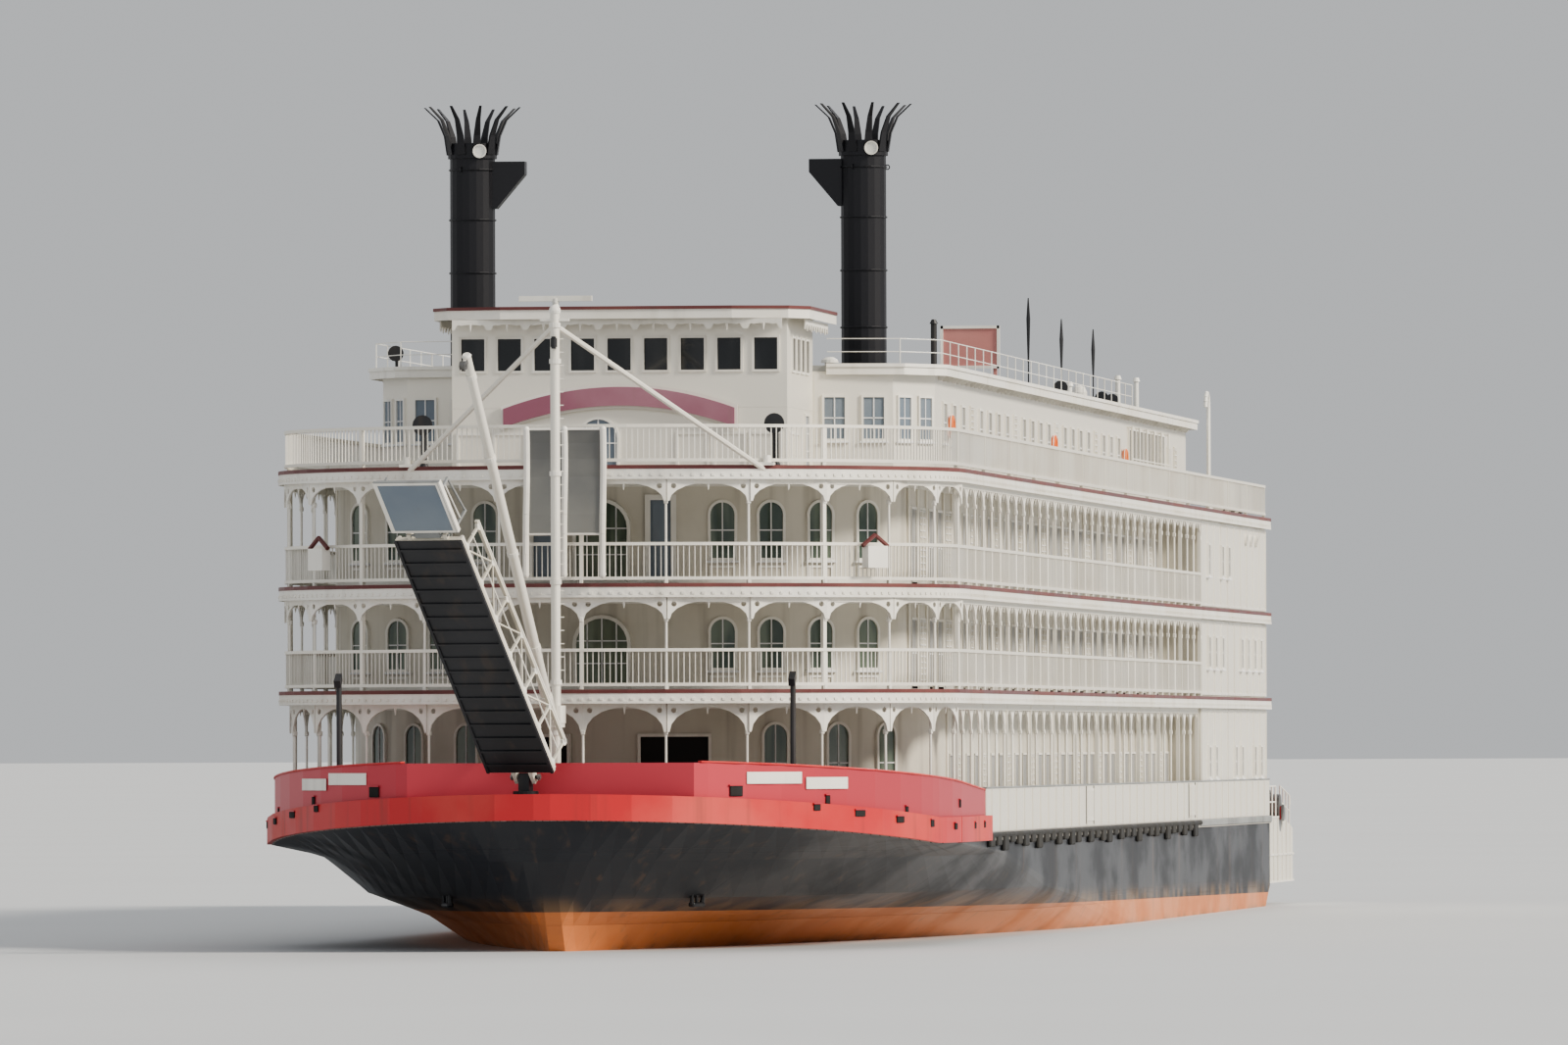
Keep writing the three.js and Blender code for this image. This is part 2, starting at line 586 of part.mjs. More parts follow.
function buildStage() {
  const seat = DECK_TOPS.main + sheer(STAGE.aft - 34) + GAP;
  const x = fromAft(STAGE.aft);
  addMesh('stage_pedestal', turned([
    [0, seat], [34, seat], [34, seat + 8], [24, seat + 14], [24, 622], [0, 622],
  ], 20).translate(x, STAGE.y, 0), FINISH.steel);

  const swing = new THREE.Group();
  swing.position.set(x, STAGE.y, 0);
  swing.rotation.z = rad(STAGE.swing);
  boat.add(swing);
  const table = turned([[0, 622 + GAP], [32, 622 + GAP], [32, 630], [0, 630]], 20);
  const post = new THREE.BoxGeometry(22, 30, 46).translate(0, 0, 652);
  const pin = new THREE.CylinderGeometry(5, 5, 70, 12).translate(0, 0, STAGE.pivot);
  addMesh('stage_turntable', toGeometry(joined([table, post, pin])), FINISH.steel, swing);

  const raised = new THREE.Group();
  raised.position.set(0, 0, STAGE.pivot);
  raised.rotation.y = -rad(STAGE.rise);
  swing.add(raised);
  const start = 24;
  const floor = new THREE.BoxGeometry(STAGE.length - start, 2 * STAGE.half, STAGE.deck)
    .translate((STAGE.length + start) / 2, 0, -6);
  const lugs = [1, -1].map((side) => new THREE.BoxGeometry(56, 10, 20).translate(16, side * 24, -2));
  const side = (offset) => {
    const y = offset * (STAGE.half - 5);
    const chord = new THREE.BoxGeometry(STAGE.length - 60, 8, 8)
      .translate((STAGE.length + 60) / 2 - 20, y, STAGE.truss - 4);
    const span = (STAGE.length - 80) / STAGE.panels;
    const members = [];
    for (let i = 0; i <= STAGE.panels; i++) {
      const at = 44 + i * span;
      members.push(new THREE.BoxGeometry(6, 6, STAGE.truss - 4).translate(at, y, STAGE.truss / 2 - 3));
      if (i < STAGE.panels) {
        const rising = i % 2 === 0;
        members.push(bar(
          new THREE.Vector3(at, y, rising ? -4 : STAGE.truss - 5),
          new THREE.Vector3(at + span, y, rising ? STAGE.truss - 5 : -4), 2.6, 2.6, 4,
        ));
      }
    }
    return [chord, ...members];
  };
  const bore = new THREE.CylinderGeometry(5.6, 5.6, 90, 12);
  const tipBore = new THREE.CylinderGeometry(3.6, 3.6, 200, 12).translate(STAGE.length + 10, 0, -6);
  const tipLugs = [1, -1].map((sign) => (
    new THREE.BoxGeometry(33, 10, 12).translate(STAGE.length - 1.5, sign * 50, -6)
  ));
  const whole = joined([floor, ...lugs, ...side(1), ...side(-1), ...tipLugs]);
  addMesh('stage', toGeometry(cut(whole, [bore, tipBore])), FINISH.white, raised);

  const apronStart = STAGE.length + 20;
  const apronFloor = new THREE.BoxGeometry(STAGE.apron - 20, 2 * STAGE.half, 8)
    .translate(apronStart + STAGE.apron / 2 - 10, 0, -6);
  const tipPin = new THREE.CylinderGeometry(3, 3, 120, 12).translate(STAGE.length + 10, 0, -6);
  const centre = new THREE.BoxGeometry(30, 70, 6).translate(STAGE.length + 18, 0, -6);
  const hoops = [1, -1].map((sign) => {
    const y = sign * (STAGE.half - 8);
    return [
      new THREE.BoxGeometry(6, 6, 70).translate(apronStart + 12, y, 29),
      new THREE.BoxGeometry(6, 6, 50).translate(apronStart + 130, y, 19),
      bar(new THREE.Vector3(apronStart + 12, y, 62), new THREE.Vector3(apronStart + 131, y, 42), 3, 3, 8),
    ];
  }).flat();
  addMesh('stage_apron', toGeometry(joined([apronFloor, tipPin, centre, ...hoops])), FINISH.deckGrey, raised);
}

// Stern wheel between two outriggers
const WHEEL = {
  aft: 10410, z: 520, radius: 380, half: 700, shaft: 22, hub: 55, spiders: 4, floats: 14,
  spoke: 14, rim: [270, 290], floatDepth: 74, floatThick: 10,
};
const OUTRIGGER = { y: [800, 872], end: 10850, low: 300, top: 505, endTop: 470 };

// One flat spider: a hub, spokes reaching past a round rim, and open windows between them
function wheelSpider() {
  const step = 2 * Math.PI / WHEEL.floats;
  const [inner, outer] = WHEEL.rim;
  const tip = WHEEL.radius - 12;
  const half = WHEEL.spoke / 2;
  const at = (radius, turn, side) => {
    const off = side * Math.asin(half / radius);
    return new THREE.Vector2(radius * Math.cos(turn + off), radius * Math.sin(turn + off));
  };
  const outline = [];
  const windows = [];
  for (let i = 0; i < WHEEL.floats; i++) {
    const turn = i * step;
    outline.push(at(outer, turn, -1), at(tip, turn, -1), at(tip, turn, 1), at(outer, turn, 1));
    const next = turn + step;
    windows.push(new THREE.Path([
      at(WHEEL.hub, turn, 1), at(inner, turn, 1), at(inner, next, -1), at(WHEEL.hub, next, -1),
    ]));
  }
  const shape = new THREE.Shape(outline);
  shape.holes = windows;
  return new THREE.ExtrudeGeometry(shape, { depth: 12, bevelEnabled: false })
    .translate(0, 0, -6).rotateX(Math.PI / 2);
}

function buildWheel() {
  const place = new THREE.Group();
  place.position.set(fromAft(WHEEL.aft), 0, WHEEL.z);
  boat.add(place);
  const span = 2 * OUTRIGGER.y[1] + 8;
  const parts = [new THREE.CylinderGeometry(WHEEL.shaft, WHEEL.shaft, span, 16)];
  for (let spider = 0; spider < WHEEL.spiders; spider++) {
    const y = -WHEEL.half + 40 + spider * (2 * WHEEL.half - 80) / (WHEEL.spiders - 1);
    parts.push(wheelSpider().translate(0, y, 0));
  }
  for (let i = 0; i < WHEEL.floats; i++) {
    parts.push(new THREE.BoxGeometry(WHEEL.floatDepth, 2 * WHEEL.half, WHEEL.floatThick)
      .translate(WHEEL.radius - WHEEL.floatDepth / 2, 0, WHEEL.floatThick / 2 + 1)
      .rotateY(-i * 2 * Math.PI / WHEEL.floats));
  }
  addMesh('sternwheel', toGeometry(joined(parts)), FINISH.wheelRed, place);

  [['port', 1], ['starboard', -1]].forEach(([name, side]) => {
    const [inner, outer] = OUTRIGGER.y.map((y) => side * y).sort((a, b) => a - b);
    const section = (aft, top) => [
      new THREE.Vector3(fromAft(aft), inner, OUTRIGGER.low),
      new THREE.Vector3(fromAft(aft), inner, top),
      new THREE.Vector3(fromAft(aft), outer, top),
      new THREE.Vector3(fromAft(aft), outer, OUTRIGGER.low),
    ];
    const beam = loft([
      section(STERN_AFT + GAP, OUTRIGGER.top),
      section(10500, OUTRIGGER.top),
      section(OUTRIGGER.end, OUTRIGGER.endTop),
    ]);
    const clear = new THREE.CylinderGeometry(60, 60, 200, 20)
      .translate(fromAft(WHEEL.aft), side * 836, WHEEL.z);
    addMesh(`outrigger_${name}`, toGeometry(cut(toSolid(beam), [clear])), FINISH.hullBlack);

    const house = new THREE.CylinderGeometry(60 - GAP, 60 - GAP, 72, 20)
      .translate(fromAft(WHEEL.aft), side * 836, WHEEL.z);
    const bore = new THREE.CylinderGeometry(WHEEL.shaft + 1, WHEEL.shaft + 1, 300, 20)
      .translate(fromAft(WHEEL.aft), side * 836, WHEEL.z);
    addMesh(`wheel_bearing_${name}`, toGeometry(cut(toSolid(house), [bore])), FINISH.steel);
  });
}

function buildRudders() {
  [['port', 1], ['starboard', -1]].forEach(([name, side]) => {
    const place = new THREE.Group();
    place.position.set(fromAft(RUDDER.aft), side * RUDDER.y, 0);
    boat.add(place);
    const [front, back] = RUDDER.blade;
    const blade = new THREE.BoxGeometry(back - front, RUDDER.thick, RUDDER.high - RUDDER.low)
      .translate(RUDDER.aft - (front + back) / 2, 0, (RUDDER.high + RUDDER.low) / 2);
    const stock = new THREE.CylinderGeometry(RUDDER.stock, RUDDER.stock, 210 - RUDDER.low, 16)
      .rotateX(Math.PI / 2).translate(0, 0, (210 + RUDDER.low) / 2);
    addMesh(`rudder_${name}`, toGeometry(joined([blade, stock])), FINISH.antifouling, place);
  });
}

// Small gear on deck: capstan, radar, searchlights, lamp posts, name board, dome and locker
const CAPSTAN = { aft: 420, radius: 26 };
const RADAR = { aft: 1420, y: -190, z: 1896 };
const SEARCHLIGHTS = [['port', 715, 470], ['starboard', 715, -430]];
const LAMP_POSTS = [['port', 330, 560], ['starboard', 520, -620]];

function buildDeckGear() {
  const seat = DECK_TOPS.main + sheer(CAPSTAN.aft - 34) + GAP;
  const place = [fromAft(CAPSTAN.aft), 0, 0];
  addMesh('capstan_base', turned([[0, seat], [36, seat], [36, seat + 14], [0, seat + 14]], 20)
    .translate(...place), FINISH.steel);
  const low = seat + 14.5;
  addMesh('capstan', turned([
    [0, low], [32, low], [20, low + 14], [20, low + 44], [28, low + 56], [28, low + 66], [0, low + 66],
  ], 20).translate(...place), FINISH.steel);

  addMesh('radar_post', turned([
    [0, PILOTHOUSE.roofTop + GAP], [12, PILOTHOUSE.roofTop + GAP], [8, RADAR.z - 10], [0, RADAR.z - 10],
  ], 12).translate(fromAft(RADAR.aft), RADAR.y, 0), FINISH.white);
  const scanner = joined([
    new THREE.BoxGeometry(14, 190, 14).translate(0, 0, 2),
    new THREE.CylinderGeometry(9, 9, 12, 12).rotateX(Math.PI / 2).translate(0, 0, -3.5),
  ]);
  addMesh('radar_scanner', toGeometry(scanner), FINISH.white)
    .position.set(fromAft(RADAR.aft), RADAR.y, RADAR.z);

  SEARCHLIGHTS.forEach(([name, aft, y]) => {
    const base = DECK_TOPS.fourth + GAP;
    const post = turned([[0, base], [14, base], [8, base + 12], [8, base + 90], [0, base + 90]], 12);
    const lamp = new THREE.CylinderGeometry(26, 20, 44, 16).rotateZ(-Math.PI / 2).translate(4, 0, base + 108);
    addMesh(`searchlight_${name}`, toGeometry(joined([post, lamp])), FINISH.white)
      .position.set(fromAft(aft), y, 0);
  });

  LAMP_POSTS.forEach(([name, aft, y]) => {
    const base = DECK_TOPS.main + sheer(aft - 12) + GAP;
    const post = turned([[0, base], [12, base], [7, base + 20], [7, 905], [0, 905]], 10);
    const lamp = new THREE.BoxGeometry(40, 16, 20).rotateY(0.5).translate(14, 0, 908);
    addMesh(`lamp_post_${name}`, toGeometry(joined([post, lamp])), FINISH.white)
      .position.set(fromAft(aft), y, 0);
  });
}

buildHull();
buildMainDeck();
buildDecksAndHouses();
buildRailings();
buildTexas();
buildStacks();
buildMast();
buildBoom();
buildStage();
buildWheel();
buildRudders();
buildDeckGear();

export default boat;
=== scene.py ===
import logging
import math
from dataclasses import dataclass, field
from enum import Enum
from typing import Callable, Iterable

import bmesh
import bpy
from mathutils import Matrix, Vector


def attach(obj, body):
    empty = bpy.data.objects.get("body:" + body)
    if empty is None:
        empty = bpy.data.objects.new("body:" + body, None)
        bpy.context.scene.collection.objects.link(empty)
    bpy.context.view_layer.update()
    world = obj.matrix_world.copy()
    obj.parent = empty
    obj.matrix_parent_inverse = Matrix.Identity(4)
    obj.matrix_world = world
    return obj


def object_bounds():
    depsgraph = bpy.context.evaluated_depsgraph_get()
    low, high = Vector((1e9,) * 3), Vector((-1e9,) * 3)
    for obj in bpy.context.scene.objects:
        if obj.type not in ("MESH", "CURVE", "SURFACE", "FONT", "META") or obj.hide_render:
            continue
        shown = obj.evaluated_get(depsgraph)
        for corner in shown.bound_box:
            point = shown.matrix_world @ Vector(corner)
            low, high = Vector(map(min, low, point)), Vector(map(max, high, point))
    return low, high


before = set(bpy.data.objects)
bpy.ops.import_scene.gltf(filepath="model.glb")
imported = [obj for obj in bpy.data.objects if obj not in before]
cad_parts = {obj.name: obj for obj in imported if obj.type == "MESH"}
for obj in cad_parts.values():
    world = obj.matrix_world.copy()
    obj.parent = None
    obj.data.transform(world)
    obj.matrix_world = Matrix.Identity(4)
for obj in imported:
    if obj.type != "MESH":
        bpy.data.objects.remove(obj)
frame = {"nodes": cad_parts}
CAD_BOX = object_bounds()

LOG = logging.getLogger("river_boat")

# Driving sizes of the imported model, in metres. "Aft" counts from the stem at the waterline.
STEM_X = 5.0
WATERLINE = 0.23
HALF_BEAM = 0.885
MAIN_DECK, SECOND_DECK, THIRD_DECK, FOURTH_DECK = 0.514, 0.882, 1.15, 1.448
DECK_THICK = 0.03
DECK_FRONT, SHOULDER, AFT_BLOCK, STERN = 0.5, 1.29, 7.8, 9.95
BOW_STEPS = 14
BOW_AFT = -0.2
SHEER_END, SHEER_RISE = 0.9, 0.065
RAIL_INSET, RAIL_TOP = 0.012, 0.105
POST_MARGIN = 0.01
TEXAS_ROOF = 1.73
ON_FOURTH, ON_ROOF = FOURTH_DECK + 0.0005, TEXAS_ROOF + 0.0005
PILOT_FRONT, PILOT_BACK, PILOT_HALF = 1.24, 1.7797, 0.435
PILOT_FLOOR, PILOT_ROOF = 1.61, 1.866
BAYS = {"port": 33, "bow": 12, "starboard": 33}

# Directions and turns: across the boat, a part stood on edge, a part that faces ahead.
OUT = (0, 1, 0)
ON_EDGE = (math.pi / 2, 0.0, 0.0)
AHEAD = -math.pi / 2

Numbers = Iterable[float]
Triple = tuple[float, float, float]
Piece = bpy.types.Object
Socket = bpy.types.NodeSocket
Steps = list[tuple[Vector, float]]
Level = float | Callable[[float], float]


def from_aft(aft: float) -> float:
    """The x of a station, from its distance aft of the stem."""
    return STEM_X - aft


def sheer(aft: float) -> float:
    """How far the main deck rises at a station near the bow."""
    return SHEER_RISE * max(0.0, (SHEER_END - aft) / (SHEER_END - BOW_AFT))


class Side(Enum):
    """The two sides of the boat, as signs of y."""

    PORT = 1
    STARBOARD = -1

    @property
    def word(self) -> str:
        """The side's name, for a piece's name."""
        return self.name.lower()

    @property
    def outward(self) -> float:
        """The turn that makes local +Y face out from this side."""
        return 0.0 if self is Side.PORT else math.pi


# Finishes

class Nodes:
    """A material's node tree while it is being wired."""

    def __init__(self, name: str) -> None:
        """Starts a material that holds one principled shader.

        Args:
            name: the material's name.
        """
        self.material = bpy.data.materials.new(name)
        self.material.use_nodes = True
        self.tree = self.material.node_tree
        self.shader = self.tree.nodes["Principled BSDF"]
        self.coords = self.tree.nodes.new("ShaderNodeTexCoord").outputs["Object"]

    def add(self, kind: str, inputs: dict[str | int, object], **values: object) -> bpy.types.Node:
        """Adds a node and sets it up.

        Args:
            kind: the node's type, without its prefix.
            inputs: what its inputs are linked to, where it is a socket, or set to.
            values: properties to set on it.

        Returns:
            The new node.
        """
        node = self.tree.nodes.new(f"ShaderNode{kind}")
        for key, value in values.items():
            setattr(node, key, value)
        for key, value in inputs.items():
            if isinstance(value, Socket):
                self.tree.links.new(value, node.inputs[key])
            else:
                node.inputs[key].default_value = value
        return node

    def noise(self, scale: Triple, detail: float = 4.0) -> Socket:
        """Noise on the object coordinates; its scale is in cells to the metre along each axis."""
        vector = self.add("Mapping", {"Vector": self.coords, "Scale": scale}).outputs["Vector"]
        return self.add("TexNoise", {"Vector": vector, "Scale": 1.0, "Detail": detail}).outputs["Fac"]

    def step(self, value: Socket, low: float, high: float, to_low: float = 0.0,
             to_high: float = 1.0) -> Socket:
        """Maps a value smoothly from the range low to high onto the range to_low to to_high."""
        span = {"Value": value, "From Min": low, "From Max": high, "To Min": to_low, "To Max": to_high}
        return self.add("MapRange", span, interpolation_type="SMOOTHSTEP").outputs["Result"]

    def blend(self, share: Socket, first: Socket | Triple, second: Socket | Triple) -> Socket:
        """Mixes two colours; share is how much of the second one shows."""
        first, second = [(*each, 1.0) if isinstance(each, tuple) else each for each in (first, second)]
        return self.add("Mix", {"Factor": share, 6: first, 7: second}, data_type="RGBA").outputs[2]

    def sum(self, operation: str, *terms: Socket | float) -> Socket:
        """A sum done on values."""
        return self.add("Math", dict(enumerate(terms)), operation=operation).outputs[0]

    def axis(self, letter: str) -> Socket:
        """One of the object coordinates, in metres."""
        return self.add("SeparateXYZ", {0: self.coords}).outputs[letter]

    def courses(self, across: str, width: float, height: float, gap: float, shift: float) -> Socket:
        """Rows of plates or boards along the boat, with gaps between them.

        Args:
            across: the axis that the rows follow one another on.
            width: the length of a plate.
            height: the height of a row.
            gap: the width of the gaps.
            shift: how far each row is shifted.

        Returns:
            A value that is 1 in the gaps.
        """
        flat = self.add("CombineXYZ", {"X": self.axis("X"), "Y": self.axis(across)}).outputs["Vector"]
        sizes = {"Scale": 1.0, "Mortar Size": gap, "Brick Width": width, "Row Height": height}
        return self.add("TexBrick", {"Vector": flat, **sizes}, offset=shift).outputs["Fac"]

    def finish(self, colour: Socket, mottle: Socket, smooth: float, dull: float) -> bpy.types.Material:
        """Feeds the shader its colour and roughness.

        Args:
            colour: the colour.
            mottle: where the surface is dull.
            smooth: the roughness elsewhere.
            dull: the roughness there.

        Returns:
            The material.
        """
        self.tree.links.new(colour, self.shader.inputs["Base Color"])
        self.tree.links.new(self.step(mottle, 0.0, 1.0, smooth, dull), self.shader.inputs["Roughness"])
        return self.material

    def bump(self, height: Socket, strength: float, distance: float) -> None:
        """Feeds the shader a bump: a height field, its strength and the metres that 1 stands for."""
        node = self.add("Bump", {"Height": height, "Strength": strength, "Distance": distance})
        self.tree.links.new(node.outputs["Normal"], self.shader.inputs["Normal"])


@dataclass(frozen=True)
class Paint:
    """Boat paint: a base colour, a worn colour in patches, and grime that runs down from above."""

    name: str
    base: Triple
    worn: Triple
    grime: Triple = (0.20, 0.17, 0.13)
    grime_share: float = 0.35
    roughness: float = 0.45
    metallic: float = 0.0
    coat: float = 0.0
    patch: Triple = (3.0, 3.0, 3.0)
    patch_detail: float = 6.0
    patch_edge: tuple[float, float] = (0.38, 0.66)
    spread: tuple[float, float] = (-0.06, 0.10)
    grain: float = 14.0
    grain_detail: float = 5.0
    bump: tuple[float, float] = (0.35, 0.0006)

    def build(self) -> bpy.types.Material:
        """Wires the material.

        Returns:
            The finished material.
        """
        nodes = Nodes(self.name)
        patches = nodes.step(nodes.noise(self.patch, self.patch_detail), *self.patch_edge)
        colour = nodes.blend(patches, self.base, self.worn)
        if self.grime_share:
            runs = nodes.step(nodes.noise((22.0, 22.0, 1.32), 3.0), 0.52, 0.74, 0.0, self.grime_share)
            colour = nodes.blend(runs, colour, self.grime)
        nodes.shader.inputs["Metallic"].default_value = self.metallic
        nodes.shader.inputs["Coat Weight"].default_value = self.coat
        nodes.bump(nodes.noise((self.grain,) * 3, self.grain_detail), *self.bump)
        return nodes.finish(colour, patches, *[self.roughness + change for change in self.spread])


@dataclass(frozen=True)
class Worn(Paint):
    """Bare metal, rubber and rope: a mottled colour with a fine grain."""

    grime_share: float = 0.0
    roughness: float = 0.4
    metallic: float = 0.9
    patch: Triple = (8.0, 8.0, 8.0)
    patch_edge: tuple[float, float] = (0.35, 0.65)
    spread: tuple[float, float] = (-0.1, 0.15)
    grain: float = 60.0
    grain_detail: float = 4.0
    bump: tuple[float, float] = (0.3, 0.0005)


@dataclass(frozen=True)
class Glass(Paint):
    """Window glass over a dim room: tinted, glossy, with faint curtains behind it."""

    grime_share: float = 0.0
    roughness: float = 0.08
    coat: float = 0.6
    patch: Triple = (16.0, 16.0, 3.0)
    patch_detail: float = 2.0
    patch_edge: tuple[float, float] = (0.42, 0.62)
    spread: tuple[float, float] = (0.0, 0.05)
    grain: float = 9.0
    grain_detail: float = 1.0
    bump: tuple[float, float] = (0.12, 0.0004)


@dataclass(frozen=True)
class HullPaint:
    """Hull plating: dark topsides, stained and rusty, over an orange boot-top that rises to the bow."""

    name: str
    base: Triple
    worn: Triple
    boot: Triple
    boot_worn: Triple
    stain: Triple
    line: float = 0.3004
    rise: float = 0.00553
    roughness: float = 0.42

    def build(self) -> bpy.types.Material:
        """Wires the material.

        Returns:
            The finished material.
        """
        nodes = Nodes(self.name)
        patches = nodes.step(nodes.noise((2.2, 2.2, 5.0), 7.0), 0.36, 0.68)
        level = nodes.sum("MULTIPLY_ADD", nodes.axis("X"), -self.rise, nodes.axis("Z"))
        ragged = nodes.step(nodes.noise((9.0, 9.0, 2.5), 6.0), 0.35, 0.62)
        splash = nodes.sum("MULTIPLY", nodes.step(level, self.line, self.line + 0.05, 1.0, 0.0), ragged)
        topside = nodes.blend(splash, nodes.blend(patches, self.base, self.worn), self.stain)
        weed = nodes.step(nodes.axis("Z"), WATERLINE - 0.02, WATERLINE + 0.022, 1.0, 0.0)
        weed = nodes.sum("MULTIPLY", weed, ragged)
        boot = nodes.blend(weed, nodes.blend(patches, self.boot, self.boot_worn), self.stain)
        colour = nodes.blend(nodes.step(level, self.line - 0.0004, self.line + 0.0004), boot, topside)
        runs = nodes.step(nodes.noise((26.0, 26.0, 1.2), 3.0), 0.58, 0.76, 0.0, 0.35)
        seams = nodes.courses("Z", 0.62, 0.16, 0.006, 0.5)
        nodes.bump(nodes.sum("SUBTRACT", nodes.noise((5.0, 5.0, 9.0), 3.0), seams), 0.55, 0.0022)
        rust = nodes.blend(runs, colour, (0.16, 0.09, 0.05))
        return nodes.finish(rust, patches, self.roughness - 0.08, self.roughness + 0.12)


@dataclass(frozen=True)
class Planks:
    """Laid planks: boards with a fine grain and dark caulked seams."""

    name: str
    base: Triple
    worn: Triple
    board: float = 0.018
    roughness: float = 0.75

    def build(self) -> bpy.types.Material:
        """Wires the material.

        Returns:
            The finished material.
        """
        nodes = Nodes(self.name)
        grain = nodes.step(nodes.noise((3.0, 60.0, 60.0), 5.0), 0.35, 0.65)
        seam = nodes.courses("Y", self.board * 26, self.board, self.board * 0.06, 0.37)
        nodes.bump(nodes.step(seam, 0.0, 1.0, 1.0, 0.0), 0.5, 0.0008)
        colour = nodes.blend(seam, nodes.blend(grain, self.base, self.worn), (0.05, 0.05, 0.05))
        return nodes.finish(colour, grain, self.roughness - 0.1, self.roughness + 0.1)


@dataclass(frozen=True)
class DeckPlate:
    """An upper deck: laid planks on top and a painted ceiling beneath."""

    name: str
    top: float
    planks: Triple = (0.33, 0.31, 0.28)
    worn: Triple = (0.42, 0.39, 0.35)
    ceiling: Triple = (0.66, 0.64, 0.58)
    board: float = 0.016

    def build(self) -> bpy.types.Material:
        """Wires the material.

        Returns:
            The finished material.
        """
        nodes = Nodes(self.name)
        above = nodes.step(nodes.axis("Z"), self.top - 0.003, self.top - 0.002)
        grain = nodes.step(nodes.noise((3.0, 60.0, 60.0), 5.0), 0.35, 0.65)
        scale = 0.3142 / self.board
        wave = nodes.add("TexWave", {"Vector": nodes.coords, "Scale": scale}, bands_direction="Y")
        seam = nodes.step(wave.outputs["Fac"], 0.0, 0.06, 1.0, 0.0)
        wood = nodes.blend(seam, nodes.blend(grain, self.planks, self.worn), (0.07, 0.065, 0.06))
        panel = nodes.blend(seam, self.ceiling, (0.50, 0.48, 0.43))
        nodes.bump(nodes.step(seam, 0.0, 1.0, 1.0, 0.0), 0.4, 0.0006)
        return nodes.finish(nodes.blend(above, panel, wood), grain, 0.55, 0.75)


class Finish(Enum):
    """Every finish on the boat. Each one is built once, when it is first asked for."""

    WHITE = Paint("white_paint", (0.8, 0.775, 0.7), (0.7, 0.665, 0.58), grime_share=0.3)
    CREAM = Paint("cream_wall", (0.7, 0.665, 0.58), (0.6, 0.565, 0.48), grime_share=0.35)
    TRIM = Paint("white_trim", (0.86, 0.84, 0.78), (0.76, 0.73, 0.66), grime_share=0.15, bump=(0.35, 0.0002))
    RED = Paint("bow_red", (0.44, 0.022, 0.03), (0.5, 0.055, 0.052), (0.17, 0.05, 0.04), 0.45)
    STRAKE = Paint("strake_red", (0.56, 0.036, 0.038), (0.62, 0.085, 0.07), (0.17, 0.05, 0.04), 0.4)
    FASCIA = Paint("fascia_maroon", (0.13, 0.035, 0.035), (0.18, 0.06, 0.055), (0.08, 0.05, 0.04), 0.3)
    GREY = Paint("deck_grey", (0.3, 0.31, 0.31), (0.24, 0.25, 0.25), (0.12, 0.11, 0.1), 0.35, 0.7)
    BLUE_GREY = Paint("blue_grey", (0.17, 0.21, 0.26), (0.22, 0.26, 0.3), grime_share=0.25)
    # Partly the panels' own grey, partly painted shade: darkened to the shadowed lower part of the panels.
    HOOD_GREY_AND_SHADE = Paint("hood_grey_and_shade", (0.15, 0.152, 0.148), (0.21, 0.21, 0.195), grime_share=0.3)
    STACK = Paint("stack_black", (0.01, 0.01, 0.012), (0.035, 0.036, 0.03), (0.1, 0.07, 0.05), 0.35, 0.36)
    WHEEL = Paint("wheel_red", (0.5, 0.022, 0.028), (0.42, 0.055, 0.05), (0.12, 0.07, 0.05), 0.55, 0.5)
    BLACK = Paint("black_paint", (0.013, 0.014, 0.017), (0.035, 0.036, 0.04), (0.1, 0.07, 0.05), 0.3)
    BANNER = Paint("banner_plum", (0.3, 0.11, 0.16), (0.4, 0.2, 0.25), grime_share=0.2)
    BOARD = Paint("board_pink", (0.58, 0.27, 0.24), (0.52, 0.22, 0.2), grime_share=0.2)
    ORANGE = Paint("lifebuoy_orange", (0.8, 0.16, 0.03), (0.7, 0.2, 0.07), grime_share=0.15)
    HULL = HullPaint("hull_paint", (0.013, 0.015, 0.021), (0.024, 0.027, 0.033), (0.66, 0.23, 0.07),
                     (0.55, 0.19, 0.07), (0.155, 0.095, 0.052))
    DECK = Planks("deck_planks", (0.3, 0.29, 0.27), (0.38, 0.36, 0.33))
    SECOND_PLATE = DeckPlate("second_deck_planks", SECOND_DECK)
    THIRD_PLATE = DeckPlate("third_deck_planks", THIRD_DECK)
    FOURTH_PLATE = DeckPlate("fourth_deck_planks", FOURTH_DECK)
    GREEN_GLASS = Glass("green_glass", (0.055, 0.085, 0.065), (0.16, 0.2, 0.15))
    DARK_GLASS = Glass("dark_glass", (0.008, 0.01, 0.012), (0.02, 0.022, 0.024), roughness=0.05)
    CABIN_GLASS = Glass("cabin_glass", (0.06, 0.065, 0.06), (0.22, 0.21, 0.18), roughness=0.12)
    LAMP = Glass("lamp_lens", (0.75, 0.74, 0.68), (0.85, 0.84, 0.8), roughness=0.15)
    WOOD = Worn("weathered_wood", (0.34, 0.28, 0.2), (0.24, 0.2, 0.15), roughness=0.75, metallic=0.0,
                grain=90.0)
    STEEL = Worn("worn_steel", (0.32, 0.33, 0.34), (0.2, 0.19, 0.18))
    RUBBER = Worn("black_rubber", (0.018, 0.018, 0.018), (0.04, 0.038, 0.035), roughness=0.75, metallic=0.0)
    BRASS = Worn("brass", (0.6, 0.42, 0.16), (0.42, 0.28, 0.1), roughness=0.3, metallic=1.0)
    # Painted shade: a near-black finish laid as a sheet where doorways, slots, gaps and fan ducts would show
    # shade.
    OPENING_SHADE = Worn("painted_opening_shade", (0.012, 0.012, 0.013), (0.025, 0.024, 0.022), roughness=0.8, metallic=0.0)

    def material(self) -> bpy.types.Material:
        """The finish's material, built when it is first used."""
        found = bpy.data.materials.get(self.value.name)
        return found or self.value.build()


# Modelling by hand: small steps that the sub-assemblies share

def clear() -> None:
    """Deselects everything."""
    bpy.ops.object.select_all(action="DESELECT")


